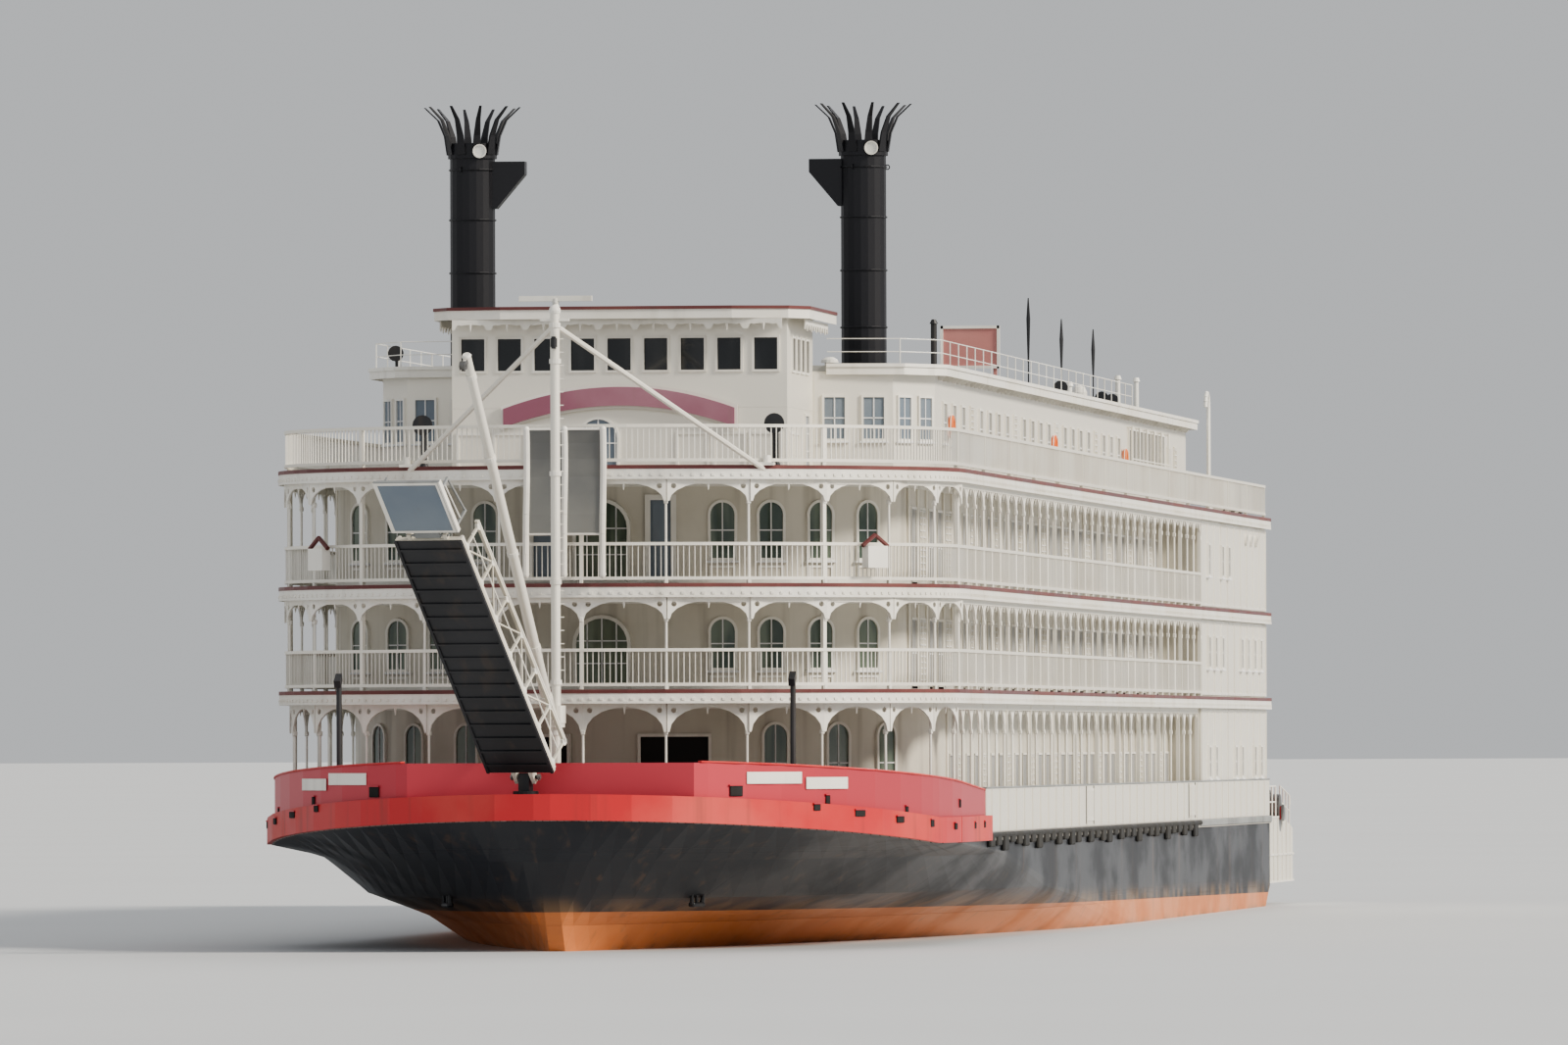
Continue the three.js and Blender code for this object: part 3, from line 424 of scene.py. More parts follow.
def pick(piece: Piece) -> None:
    """Makes one object the only selected and active one.

    Args:
        piece: the object.
    """
    clear()
    piece.select_set(True)
    bpy.context.view_layer.objects.active = piece


def settle(piece: Piece) -> Piece:
    """Moves an object's place into its mesh.

    Args:
        piece: the object.

    Returns:
        The same object.
    """
    pick(piece)
    bpy.ops.object.transform_apply(location=True, rotation=True, scale=True)
    return piece


def made(add: Callable[..., set[str]], **values: object) -> Piece:
    """Adds a primitive with nothing else selected.

    Args:
        add: the operator that adds it.
        values: its sizes and place.

    Returns:
        The new object, with its place in its mesh.
    """
    clear()
    add(**values)
    return settle(bpy.context.active_object)


def box(low: Numbers, high: Numbers) -> Piece:
    """A block between two opposite corners."""
    middle, size = (Vector(low) + Vector(high)) / 2, [abs(length) for length in Vector(high) - Vector(low)]
    return made(bpy.ops.mesh.primitive_cube_add, size=1.0, location=middle, scale=size)


def rod(start: Numbers, end: Numbers, radius: float, sides: int = 8,
        end_radius: float = -1.0) -> Piece:
    """A round bar between two points, tapered if it has an end radius.

    Args:
        start: where it starts.
        end: where it ends.
        radius: its radius at the start.
        sides: facets round it.
        end_radius: its radius at the end, or less than zero for the same.

    Returns:
        The bar.
    """
    start, end = Vector(start), Vector(end)
    along = end - start
    return made(
        bpy.ops.mesh.primitive_cone_add, vertices=sides, radius1=radius,
        radius2=radius if end_radius < 0 else end_radius, depth=along.length,
        location=(start + end) / 2, rotation=along.to_track_quat("Z", "Y").to_euler(),
    )


def turned(x: float, y: float, rings: tuple[tuple[float, float], ...], sides: int = 12) -> Piece:
    """An upright turned piece. Its rings give the radius and height at each step, from the foot up."""
    steps = [step for step in zip(rings, rings[1:]) if step[1][1] > step[0][1]]
    return joined([rod((x, y, low), (x, y, high), foot, sides, head) for (foot, low), (head, high) in steps])


def ring(centre: Numbers, radius: float, thick: float, tilt: Triple = (0, 0, 0), steps: int = 24,
         sides: int = 8) -> Piece:
    """A round ring. Its tilt is the Euler angles that turn it from lying flat, its thickness a radius."""
    return made(bpy.ops.mesh.primitive_torus_add, location=Vector(centre), rotation=tilt, major_radius=radius,
                minor_radius=thick, major_segments=steps, minor_segments=sides)


def ball(centre: Numbers, radius: float, rings: int = 10) -> Piece:
    """A small round body."""
    return made(bpy.ops.mesh.primitive_uv_sphere_add, segments=rings * 2, ring_count=rings, radius=radius,
                location=Vector(centre))


def paint(piece: Piece, finish: Finish) -> Piece:
    """Gives an object one more finish."""
    piece.data.materials.append(finish.material())
    return piece


def moved(piece: Piece, place: Matrix) -> Piece:
    """Moves an object's mesh to a place."""
    piece.data.transform(place)
    return piece


def faces(piece: Piece, facing: Vector) -> None:
    """Enters edit mode with only the faces that point one way selected.

    Args:
        piece: the object to edit.
        facing: the direction.
    """
    pick(piece)
    bpy.ops.object.mode_set(mode="EDIT")
    bpy.ops.mesh.select_mode(type="FACE")
    bpy.ops.mesh.select_all(action="DESELECT")
    mesh = bmesh.from_edit_mesh(piece.data)
    for face in mesh.faces:
        face.select_set(face.normal.dot(facing) > 0.99)
    bmesh.update_edit_mesh(piece.data)


def recess(piece: Piece, facing: Numbers, border: float, depth: float,
           finish: Finish | None = None) -> Piece:
    """Insets the faces that point one way and pushes their middle in.

    Args:
        piece: the object to shape.
        facing: the direction that the faces point in.
        border: the width left round them.
        depth: how far the middle goes in; less than zero raises it.
        finish: the finish of the middle, where it differs.

    Returns:
        The same object.
    """
    facing = Vector(facing)
    faces(piece, facing)
    bpy.ops.mesh.inset(thickness=border)
    bpy.ops.mesh.extrude_region_move(TRANSFORM_OT_translate={"value": facing * -depth})
    if finish is not None:
        if not piece.data.materials:
            paint(piece, Finish.TRIM)
        paint(piece, finish)
        piece.active_material_index = len(piece.data.materials) - 1
        bpy.ops.object.material_slot_assign()
    bpy.ops.object.mode_set(mode="OBJECT")
    return piece


def applied(piece: Piece, kind: str, **values: object) -> Piece:
    """Shapes an object with a modifier and applies it.

    Args:
        piece: the object.
        kind: the modifier's type.
        values: its settings.

    Returns:
        The same object.
    """
    pick(piece)
    modifier = piece.modifiers.new("shaping", kind)
    for key, value in values.items():
        setattr(modifier, key, value)
    bpy.ops.object.modifier_apply(modifier=modifier.name)
    return piece


def chamfer(piece: Piece, width: float, segments: int = 1) -> Piece:
    """Takes the sharpness off an object's edges: flat with one segment, round with more."""
    return applied(piece, "BEVEL", width=width, segments=segments, limit_method="ANGLE")


def cut(piece: Piece, tool: Piece) -> None:
    """Cuts a tool out of an object and deletes the tool."""
    applied(piece, "BOOLEAN", operation="DIFFERENCE", solver="EXACT", object=tool)
    bpy.data.objects.remove(tool)


def repeated(piece: Piece, count: int, offset: Numbers) -> Piece:
    """Repeats an object in a row at an even offset, as one mesh."""
    return applied(piece, "ARRAY", count=count, use_relative_offset=False, use_constant_offset=True,
                   constant_offset_displace=Vector(offset))


def joined(pieces: list[Piece]) -> Piece:
    """Joins objects into the first one.

    Args:
        pieces: the objects.

    Returns:
        The joined object.
    """
    pick(pieces[0])
    for piece in pieces[1:]:
        piece.select_set(True)
    if len(pieces) > 1:
        bpy.ops.object.join()
    return pieces[0]


def spread(model: Piece, places: Iterable[Matrix]) -> Piece:
    """Puts a copy of a model at each place, as one mesh, and deletes the model.

    Args:
        model: the object to copy, modelled round the origin.
        places: the place of each copy.

    Returns:
        One object that holds all the copies.
    """
    gathered = bmesh.new()
    for place in places:
        copy = model.data.copy()
        copy.transform(place)
        gathered.from_mesh(copy)
        bpy.data.meshes.remove(copy)
    gathered.to_mesh(model.data)
    gathered.free()
    model.data.update()
    return model


def tidy(piece: Piece) -> Piece:
    """Merges doubled corners and turns every face outward.

    Args:
        piece: the object.

    Returns:
        The same object.
    """
    pick(piece)
    bpy.ops.object.mode_set(mode="EDIT")
    bpy.ops.mesh.select_all(action="SELECT")
    bpy.ops.mesh.remove_doubles(threshold=0.00001)
    bpy.ops.mesh.normals_make_consistent(inside=False)
    bpy.ops.object.mode_set(mode="OBJECT")
    return piece


def pipe(points: list[Vector], radius: float, sides: int = 8) -> list[Piece]:
    """Rods from each point to the next."""
    return [rod(start, end, radius, sides) for start, end in zip(points, points[1:])]


def band(path: list[Vector], low: Level, high: Level, thick: float) -> Piece:
    """A band that follows a path in plan: a grid laid along it, then given its thickness inward.

    Args:
        path: the path of its outer face.
        low: the height of its lower edge, or its height at a distance aft.
        high: the same for its upper edge.
        thick: its thickness.

    Returns:
        The band.
    """
    cells = len(path) - 1
    piece = made(bpy.ops.mesh.primitive_grid_add, x_subdivisions=cells, y_subdivisions=1, size=1.0)
    for corner in piece.data.vertices:
        spot = path[round((corner.co.x + 0.5) * cells)]
        height = high if corner.co.y > 0 else low
        corner.co = (spot.x, spot.y, height(STEM_X - spot.x) if callable(height) else height)
    return tidy(applied(piece, "SOLIDIFY", thickness=thick, offset=1.0))


def done(piece: Piece | list[Piece], name: str, finish: Finish | None, body: str = "hull",
         smooth: bool = False) -> None:
    """Names a finished piece, dresses it, and says what it rides on.

    Args:
        piece: the object, or the objects that are joined to it.
        name: the piece's name.
        finish: its finish, or None where its faces have theirs already.
        body: the body that it rides on.
        smooth: whether gentle edges are shaded smooth.
    """
    piece = settle(joined(piece) if isinstance(piece, list) else piece)
    piece.name = piece.data.name = name
    if finish is not None and piece.data.materials:
        piece.data.materials[0] = finish.material()
    elif finish is not None:
        paint(piece, finish)
    if smooth:
        bpy.ops.object.shade_smooth_by_angle(angle=math.radians(35))
    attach(piece, body)
    LOG.info("%s rides on %s", name, body)


def placed(x: float, y: float, z: float, turn: float = 0.0) -> Matrix:
    """A place: a point and a turn about the vertical, in radians."""
    return Matrix.Translation((x, y, z)) @ Matrix.Rotation(turn, 4, "Z")


def stood(steps: Steps, height: float = 0.0) -> list[Matrix]:
    """The places of steps in plan, at one height."""
    return [placed(spot.x, spot.y, height, turn) for spot, turn in steps]


def inset_path(corners: list[Vector], inset: float) -> list[Vector]:
    """A path in plan moved toward the inside of the boat, with mitred corners.

    Args:
        corners: the path, from port aft round the bow to starboard aft.
        inset: how far it moves.

    Returns:
        The moved path.
    """
    path = []
    for index, corner in enumerate(corners):
        before = corners[max(0, index - 1)]
        after = corners[min(len(corners) - 1, index + 1)]
        first, second = (corner - before).normalized(), (after - corner).normalized()
        inner = before != corner and after != corner
        along = (first + second).normalized() if inner else first + second
        lean = max(0.5, along.dot(second)) if inner else 1.0
        path.append(corner + Vector((along.y, -along.x)) * (inset / lean))
    return path


def walk(corners: list[Vector], bays: int, margin: float = 0.0, centred: bool = False) -> Steps:
    """Even steps along a path.

    Args:
        corners: the path in plan.
        bays: how many bays it is divided into.
        margin: what is left free at both ends.
        centred: whether the places are the middles of the bays, not their ends.

    Returns:
        For each step its point in plan and the path's direction there, in radians.
    """
    lengths = [(after - before).length for before, after in zip(corners, corners[1:])]
    total = sum(lengths) - 2 * margin
    shares = [bay + 0.5 for bay in range(bays)] if centred else range(bays + 1)
    steps = []
    for share in shares:
        rest = margin + share / bays * total
        leg = 0
        while leg < len(lengths) - 1 and rest > lengths[leg]:
            rest -= lengths[leg]
            leg += 1
        run = corners[leg + 1] - corners[leg]
        steps.append((corners[leg] + run * (rest / lengths[leg]), math.atan2(run.y, run.x)))
    return steps


def both_sides(corners: Iterable[tuple[float, float]]) -> list[Vector]:
    """A path through corners given by their distances aft and across, and back on the starboard side."""
    port = [Vector((from_aft(aft), y)) for aft, y in corners]
    return port + [Vector((point.x, -point.y)) for point in reversed(port)]


def path_length(corners: list[Vector]) -> float:
    """The length of a path in plan."""
    return sum((after - before).length for before, after in zip(corners, corners[1:]))


@dataclass(frozen=True)
class Plan:
    """A deck or house in plan: a rounded bow up to the shoulder, then straight sides."""

    front: float
    shoulder: float
    half: float
    stern: float
    tip: float = 0.02

    def path(self, inset: float = 0.0) -> list[Vector]:
        """The edge from port aft round the bow to starboard aft.

        Args:
            inset: how far inside the edge.

        Returns:
            The edge's corners in plan.
        """
        start = math.asin(self.tip / self.half)
        turns = [start + step / BOW_STEPS * (math.pi / 2 - start) for step in range(BOW_STEPS + 1)]
        depth = self.shoulder - self.front
        half = [(self.shoulder - depth * math.cos(turn), self.half * math.sin(turn)) for turn in turns]
        half.append((self.stern, self.half))
        return inset_path(both_sides(reversed(half)), inset)

    def sections(self, inset: float = 0.0) -> dict[str, list[Vector]]:
        """The path in three parts: the port side, the bow and the starboard side."""
        corners = self.path(inset)
        return {"port": corners[:2], "bow": corners[1:-1], "starboard": corners[-2:]}

    def front_at(self, y: float) -> tuple[Vector, float]:
        """The point of the rounded front at one breadth, and the edge's direction there.

        Args:
            y: the breadth, to port or starboard.

        Returns:
            The point in plan and the direction in radians.
        """
        share = y / self.half
        depth = self.shoulder - self.front
        reach = math.sqrt(1 - share * share)
        slope = depth * share / reach / self.half
        return Vector((from_aft(self.shoulder - depth * reach), y)), math.atan2(-1.0, slope)


BALCONY = Plan(DECK_FRONT, SHOULDER, HALF_BEAM, AFT_BLOCK - 0.003)
OPEN_DECK = Plan(DECK_FRONT, SHOULDER, HALF_BEAM, STERN - 0.02)
WHOLE_DECK = Plan(DECK_FRONT, SHOULDER, HALF_BEAM, STERN)
UPPER_HOUSE = Plan(0.9, 1.3, 0.74, AFT_BLOCK)
MAIN_HOUSE = Plan(1.15, 1.8, 0.77, AFT_BLOCK)


# Sub-assemblies

@dataclass
class Balusters:
    """The close uprights of one deck's railing, in its three sections."""

    deck: str
    plan: Plan
    floor: float
    pitch: float = 0.0145
    half: float = 0.0011

    def build(self) -> None:
        """Models one upright and sets copies along each section."""
        for name, path in self.plan.sections(RAIL_INSET + 0.004).items():
            upright = box((-self.half, -self.half, self.floor + 0.016),
                          (self.half, self.half, self.floor + RAIL_TOP - 0.006))
            steps = walk(path, round(path_length(path) / self.pitch), POST_MARGIN)
            done(spread(upright, stood(steps)), f"balusters_{self.deck}_{name}", Finish.TRIM)


@dataclass
class Arcade:
    """Slender posts with pierced arches between them, under the deck above."""

    deck: str
    plan: Plan
    floor: float
    ceiling: float
    rise: float = 0.058
    thick: float = 0.005
    post: float = 0.00325
    inset: float = 0.0165

    def arch(self, width: float) -> Piece:
        """One pierced arch, its top edge at the ceiling.

        Args:
            width: the width of its bay.

        Returns:
            The arch, modelled round the origin in plan.
        """
        top, half, out = self.ceiling - 0.0012, width / 2, self.thick / 2
        panel = box((-half, -out, top - self.rise), (half, out, top))
        cut(panel, made(
            bpy.ops.mesh.primitive_cylinder_add, vertices=20, radius=1.0, depth=self.thick * 3,
            location=(0.0, 0.0, top - self.rise), rotation=(math.pi / 2, 0.0, 0.0),
            scale=(half - 0.006, self.rise - 0.012, 1.0),
        ))
        for x in (0.017 - half, half - 0.017):
            cut(panel, rod((x, -0.01, top - 0.02), (x, 0.01, top - 0.02), 0.0072))
        return joined([panel, rod((0, 0, top - 0.012), (0, 0, top - 0.03), 0.0042, 6, 0.001)])

    def build(self) -> None:
        """Sets posts and arches along each section."""
        floor, top, spring = self.floor + 0.0005, self.ceiling - 0.0012, self.ceiling - self.rise
        for name, path in self.plan.sections(self.inset).items():
            bays = BAYS[name]
            arches = spread(self.arch(path_length(path) / bays), stood(walk(path, bays, centred=True)))
            done(arches, f"arches_{self.deck}_{name}", Finish.TRIM)
            base = box((-0.005, -0.005, floor), (0.005, 0.005, self.floor + 0.016))
            capital = box((-0.0052, -0.0052, spring - 0.008), (0.0052, 0.0052, spring + 0.004))
            shaft = rod((0, 0, floor), (0, 0, top), self.post)
            pillar = joined([shaft, chamfer(base, 0.0015), chamfer(capital, 0.0015)])
            done(spread(pillar, stood(walk(path, bays, 0.006))), f"pillars_{self.deck}_{name}", Finish.TRIM)


@dataclass
class DeckEdge:
    """The mouldings of one upper deck: a dark line on top, a white band and a row of dentils."""

    deck: str
    top: float
    line: float = 0.008
    proud: float = 0.0035

    def build(self) -> None:
        """Lays the mouldings along the deck's edge."""
        outside, slim = WHOLE_DECK.path(-self.proud), WHOLE_DECK.path(-self.proud * 0.55)
        low, line = self.top - DECK_THICK, self.top - self.line
        dark = band(outside, line, self.top + 0.0015, self.proud + 0.003)
        done(dark, f"edge_line_{self.deck}", Finish.FASCIA)
        white = band(slim, low - 0.002, line, self.proud * 0.55 + 0.001)
        bead = band(outside, low - 0.004, low + 0.002, self.proud)
        done([white, bead], f"edge_band_{self.deck}", Finish.TRIM)
        block = box((-0.004, -0.0026, low + 0.004), (0.004, 0.0026, low + 0.01))
        steps = walk(slim, round(path_length(slim) / 0.026), 0.02)
        done(spread(block, stood(steps)), f"dentils_{self.deck}", Finish.TRIM)


def build_promenades() -> None:
    """Railings, arcades and deck edges of all the decks."""
    Balusters("second", BALCONY, SECOND_DECK).build()
    Balusters("third", BALCONY, THIRD_DECK).build()
    Balusters("fourth", OPEN_DECK, FOURTH_DECK).build()
    Arcade("second", BALCONY, SECOND_DECK, THIRD_DECK - DECK_THICK).build()
    Arcade("third", BALCONY, THIRD_DECK, FOURTH_DECK - DECK_THICK).build()
    lower = Plan(DECK_FRONT + 0.02, SHOULDER, HALF_BEAM - 0.012, AFT_BLOCK - 0.003)
    Arcade("main", lower, MAIN_DECK, SECOND_DECK - DECK_THICK, rise=0.075).build()
    for deck, top in (("second", SECOND_DECK), ("third", THIRD_DECK), ("fourth", FOURTH_DECK)):
        DeckEdge(deck, top).build()


class Fitting:
    """A window or door, modelled with its sill at height 0 and its face toward local +Y."""

    def fit(self, name: str, sill: float, steps: Steps) -> None:
        """Sets copies along a wall, with their sills at one height."""
        done(spread(self.model(), stood(steps, sill)), name, None)


@dataclass(frozen=True)
class Opening(Fitting):
    """A glazed window or door."""

    width: float
    height: float
    glass: Finish
    arched: bool = False
    proud: float = 0.006
    border: float = 0.006
    uprights: int = 1
    crossbars: int = 1
    sill: bool = True

    def model(self) -> Piece:
        """Models the frame, the recessed glass, the bars and the sill.

        Returns:
            The opening, round the origin.
        """
        half, proud, low, face = self.width / 2, self.proud, self.border, self.proud * 0.62
        tall = self.height - 2 * low
        if self.arched:
            casing = made(
                bpy.ops.mesh.primitive_cylinder_add, vertices=24, radius=half, depth=proud + 0.002,
                location=(0.0, (proud - 0.002) / 2, 0.0), rotation=(math.pi / 2, 0.0, 0.0),
            )
            for corner in casing.data.vertices:
                corner.co.z = 0.0 if corner.co.z < -0.0001 else corner.co.z + self.height - half
        else:
            casing = box((-half, -0.002, 0.0), (half, proud, self.height))
        parts = [recess(casing, OUT, low, proud * 0.7, self.glass)]
        for bar in range(1, self.uprights + 1):
            at = self.width * bar / (self.uprights + 1) - half
            parts.append(box((at - 0.0016, face - 0.003, low), (at + 0.0016, face, low + tall)))
        for bar in range(1, self.crossbars + 1):
            at = low + tall * bar / (self.crossbars + 1)
            parts.append(box((0.004 - half, face - 0.003, at - 0.0016), (half - 0.004, face, at + 0.0016)))
        if self.sill:
            ledge = box((-half - 0.005, -0.001, -0.006), (half + 0.005, proud + 0.004, 0.0))
            parts.append(chamfer(ledge, 0.0014))
        return joined(parts)


@dataclass(frozen=True)
class Shutter(Fitting):
    """A louvred panel for doors and vents."""

    width: float
    height: float
    slats: int = 12

    def model(self) -> Piece:
        """Models the frame and its slats.

        Returns:
            The panel, round the origin.
        """
        half = self.width / 2
        panel = box((-half, -0.002, 0.0), (half, 0.005, self.height))
        recess(panel, OUT, 0.005, 0.004, Finish.CREAM)
        slat = box((0.005 - half, 0.0005, 0.006), (half - 0.005, 0.0045, 0.0085))
        return joined([panel, repeated(slat, self.slats, (0, 0, (self.height - 0.016) / (self.slats - 1)))])


def side_steps(afts: Numbers, half: float) -> Steps:
    """Places along both straight sides, to port and to starboard at each distance aft."""
    return [(Vector((from_aft(aft), side.value * half)), side.outward) for aft in afts for side in Side]


def front_steps(plan: Plan, breadths: Numbers) -> Steps:
    """Places on a rounded front, for each breadth to port and to starboard."""
    return [plan.front_at(sign * y) for y in breadths for sign in (1, -1)]


def cross_steps(aft: float, breadths: Numbers, turn: float = math.pi / 2) -> Steps:
    """Steps across the boat at one distance aft, which face aft unless a turn is given."""
    return [(Vector((from_aft(aft), breadth)), turn) for breadth in breadths]


@dataclass
class DeckHouse:
    """The windows, doors and panels of one deck house."""

    deck: str
    plan: Plan
    floor: float
    ceiling: float
    bays: int = 33
    aft_bays: int = 10

    def sides(self) -> None:
        """Sets glazed doors and louvred doors in turn, with a pilaster between bays."""
        step = (AFT_BLOCK - 0.003 - SHOULDER) / self.bays
        middles = [SHOULDER + step * (bay + 0.5) for bay in range(self.bays)]
        middles = [aft for aft in middles if aft > self.plan.shoulder + 0.05]
        louvred = middles[1::3]
        glazed = [aft for aft in middles if aft not in louvred]
        leaves = [aft + shift for shift in (-0.036, 0.036) for aft in louvred]
        height = min(0.2, self.ceiling - self.floor - 0.055)
        sill, half = self.floor + 0.004, self.plan.half
        window = Opening(0.122, height, Finish.CABIN_GLASS, uprights=3, sill=False)
        window.fit(f"cabin_glazing_{self.deck}", sill, side_steps(glazed, half))
        Shutter(0.064, height).fit(f"cabin_doors_{self.deck}", sill, side_steps(leaves, half))
        strip = box((-0.006, -0.001, self.floor + 0.001), (0.006, 0.006, self.ceiling - 0.001))
        places = stood(side_steps([aft - step / 2 for aft in middles], half))
        done(spread(chamfer(strip, 0.002), places), f"pilasters_{self.deck}", Finish.WHITE)

    def front(self, breadths: Numbers, sill: float) -> None:
        """Sets arched windows on the rounded front, with panels below them.

        Args:
            breadths: the breadths of the windows, to both sides.
            sill: the height of the sills above the deck.
        """
        steps = front_steps(self.plan, breadths)
        height = self.ceiling - self.floor - sill - 0.05
        window = Opening(0.076, height, Finish.GREEN_GLASS, arched=True, border=0.007)
        window.fit(f"front_windows_{self.deck}", self.floor + sill, steps)
        panel = box((-0.034, -0.002, 0.0), (0.034, 0.004, sill - 0.016))
        recess(panel, OUT, 0.006, 0.003, Finish.CREAM)
        done(spread(panel, stood(steps, self.floor + 0.004)), f"front_panels_{self.deck}", None)

    def cornice(self) -> None:
        """Runs a cornice and a skirting round the forward walls."""
        path, top, floor = self.plan.path(-0.006), self.ceiling - 0.0008, self.floor
        bands = [band(path, top - 0.016, top, 0.0055), band(path, floor + 0.0008, floor + 0.014, 0.0055)]
        done(bands, f"mouldings_{self.deck}", Finish.TRIM)

    def aft_block(self, windows: Numbers, portholes: Numbers) -> None:
        """Dresses the full-width after part with panels, windows and portholes.

        Args:
            windows: the distances aft of the windows.
            portholes: the distances aft of the portholes near the ceiling.
        """
        half, height = HALF_BEAM - 0.016, self.ceiling - self.floor
        width = (STERN - 0.012 - AFT_BLOCK) / self.aft_bays
        panel = box((0.003 - width / 2, -0.001, 0.006), (width / 2 - 0.003, 0.004, height - 0.006))
        recess(panel, OUT, 0.008, 0.003, Finish.WHITE)
        afts = [AFT_BLOCK + 0.002 + width * (bay + 0.5) for bay in range(self.aft_bays)]
        done(spread(panel, stood(side_steps(afts, half), self.floor)), f"aft_panels_{self.deck}", None)
        window = Opening(0.062, 0.1, Finish.DARK_GLASS, proud=0.009)
        window.fit(f"aft_windows_{self.deck}", self.floor + height * 0.36, side_steps(windows, half))
        if portholes:
            rim = rod((0, -0.001, 0), (0, 0.009, 0), 0.019, 20)
            recess(rim, OUT, 0.004, 0.005, Finish.DARK_GLASS)
            places = stood(side_steps(portholes, half), self.ceiling - 0.045)
            done(spread(rim, places), f"portholes_{self.deck}", None)

    def stern(self) -> None:
        """Sets windows and a door in the stern wall."""
        height = self.ceiling - self.floor
        breadths = [sign * y for y in (0.2, 0.34, 0.48, 0.62, 0.76) for sign in (1, -1)]
        window = Opening(0.08, height * 0.46, Finish.CABIN_GLASS, crossbars=2)
        steps = cross_steps(STERN - 0.01, breadths)
        window.fit(f"stern_windows_{self.deck}", self.floor + height * 0.34, steps)
        door = Opening(0.1, height - 0.035, Finish.CABIN_GLASS, crossbars=3, sill=False)
        steps = cross_steps(STERN - 0.01, (0.055, -0.055))
        door.fit(f"stern_doors_{self.deck}", self.floor + 0.004, steps)


def build_houses() -> None:
    """Dresses the three deck houses."""
    main_house = DeckHouse("main", MAIN_HOUSE, MAIN_DECK, SECOND_DECK - DECK_THICK)
    second = DeckHouse("second", UPPER_HOUSE, SECOND_DECK, THIRD_DECK - DECK_THICK)
    third = DeckHouse("third", UPPER_HOUSE, THIRD_DECK, FOURTH_DECK - DECK_THICK)
    for house in (main_house, second, third):
        house.sides()
        house.cornice()
        house.stern()
    second.front((0.305, 0.425, 0.545, 0.655), 0.05)
    third.front((0.305, 0.425, 0.545, 0.655), 0.062)
    main_house.front((0.4, 0.55, 0.66), 0.075)
    main_house.aft_block((8.02, 8.23, 8.87, 9.08, 9.51, 9.72), ())
    second.aft_block((8.02, 8.23, 8.45, 9.08, 9.29, 9.51, 9.72), ())
    third.aft_block((8.02, 8.45, 8.66), (9.25, 9.42, 9.59))


@dataclass
class GrandEntrance:
    """The centre of the rounded front: glazed doors with a big arch on each deck, a lobby below with painted
    shade in its doorways.
    """

    rib_radius: float = 0.0085
    rib_breadths: Triple = (-0.136, -0.038, 0.06)
    rib_curve: tuple[tuple[float, float], ...] = (
        (0.03, 1.172), (0.03, 1.225), (0.028, 1.275), (0.023, 1.325), (0.015, 1.375), (0.009, 1.42),
        (0.007, 1.465), (0.009, 1.505), (0.014, 1.54),
    )

    def doors(self) -> None:
        """Sets glazed doors under arched lights, and lobby doorways filled with painted shade, the wider one to
        port of the middle.
        """
        for deck, floor, height in (("second", SECOND_DECK, 0.19), ("third", THIRD_DECK, 0.218)):
            door = Opening(0.15, height, Finish.GREEN_GLASS, True, 0.014, 0.009, 3, 2, False)
            door.fit(f"entrance_{deck}", floor + 0.003, [UPPER_HOUSE.front_at(0.0)])
        for name, y, width in (("port", 0.15, 0.19), ("starboard", -0.19, 0.15)):
            # The doorway's pane is painted shade: a near-black sheet where the dim lobby would be.
            door = Opening(width, 0.255, Finish.OPENING_SHADE, False, 0.01, 0.008, 0, 0, False)
            door.fit(f"lobby_door_{name}", MAIN_DECK + 0.003, [MAIN_HOUSE.front_at(y)])

    def panels(self) -> None:
        """Hangs blue-grey panels beside the upper doors."""
        panel = box((-0.036, -0.002, 0.0), (0.036, 0.006, 0.215))
        recess(panel, OUT, 0.006, 0.003, Finish.BLUE_GREY)
        recess(panel, OUT, 0.01, -0.002)
        places = stood(front_steps(UPPER_HOUSE, (0.15,)), THIRD_DECK + 0.012)
        done(spread(panel, places), "entrance_panels", None)

    def shield(self) -> None:
        """Stands curved white ribs with grey panels between them before the upper doors; the panels' grey
        carries painted shade too.
        """
        edges = [OPEN_DECK.front_at(y)[0] for y in self.rib_breadths]
        curve, parts, panels = self.rib_curve, [], []
        for edge in edges:
            spots = [Vector((edge.x + out, edge.y, height)) for out, height in curve]
            parts += pipe(spots, self.rib_radius, 10)
            parts += [ball(spot, self.rib_radius, 5) for spot in (spots[0], spots[-1])]
            x, y = edge
            parts.append(box((x - 0.002, y - 0.005, 1.171), (x + 0.03, y + 0.005, 1.177)))
        for left, right in zip(edges, edges[1:]):
            for out, height in (curve[2], curve[-1]):
                start, end = [(edge.x + out, edge.y, height) for edge in (left, right)]
                parts.append(rod(start, end, 0.0032, 6))
            for low, high in zip(curve[2:], curve[3:]):
                panel = box((-0.0012, 0.0, 0.0), (0.0012, 1.0, 1.0))
                for corner in panel.data.vertices:
                    side = left.lerp(right, corner.co.y)
                    out, height = Vector(low).lerp(Vector(high), corner.co.z)
                    corner.co = (side.x + out + corner.co.x, side.y, height)
                panels.append(tidy(panel))
        done(parts, "entrance_ribs", Finish.TRIM, smooth=True)
        # The panels' finish is their grey darkened with painted shade.
        done(panels, "entrance_panels_curved", Finish.HOOD_GREY_AND_SHADE)

    def rail_boxes(self) -> None:
        """Hangs a white box with a maroon gabled cap on the third deck's rail at each bow corner."""
        parts = [paint(box((-0.034, 0.006, 0.04), (0.034, 0.03, 0.096)), Finish.TRIM)]
        for x in (-0.043, 0.043):
            parts.append(paint(rod((x, 0.018, 0.096), (0.0, 0.018, 0.124), 0.006, 6), Finish.FASCIA))
        done(spread(joined(parts), stood(front_steps(OPEN_DECK, (0.7,)), THIRD_DECK)), "rail_boxes", None)

    def build(self) -> None:
        """Builds the whole entrance."""
        for step in (self.doors, self.panels, self.shield, self.rail_boxes):
            step()


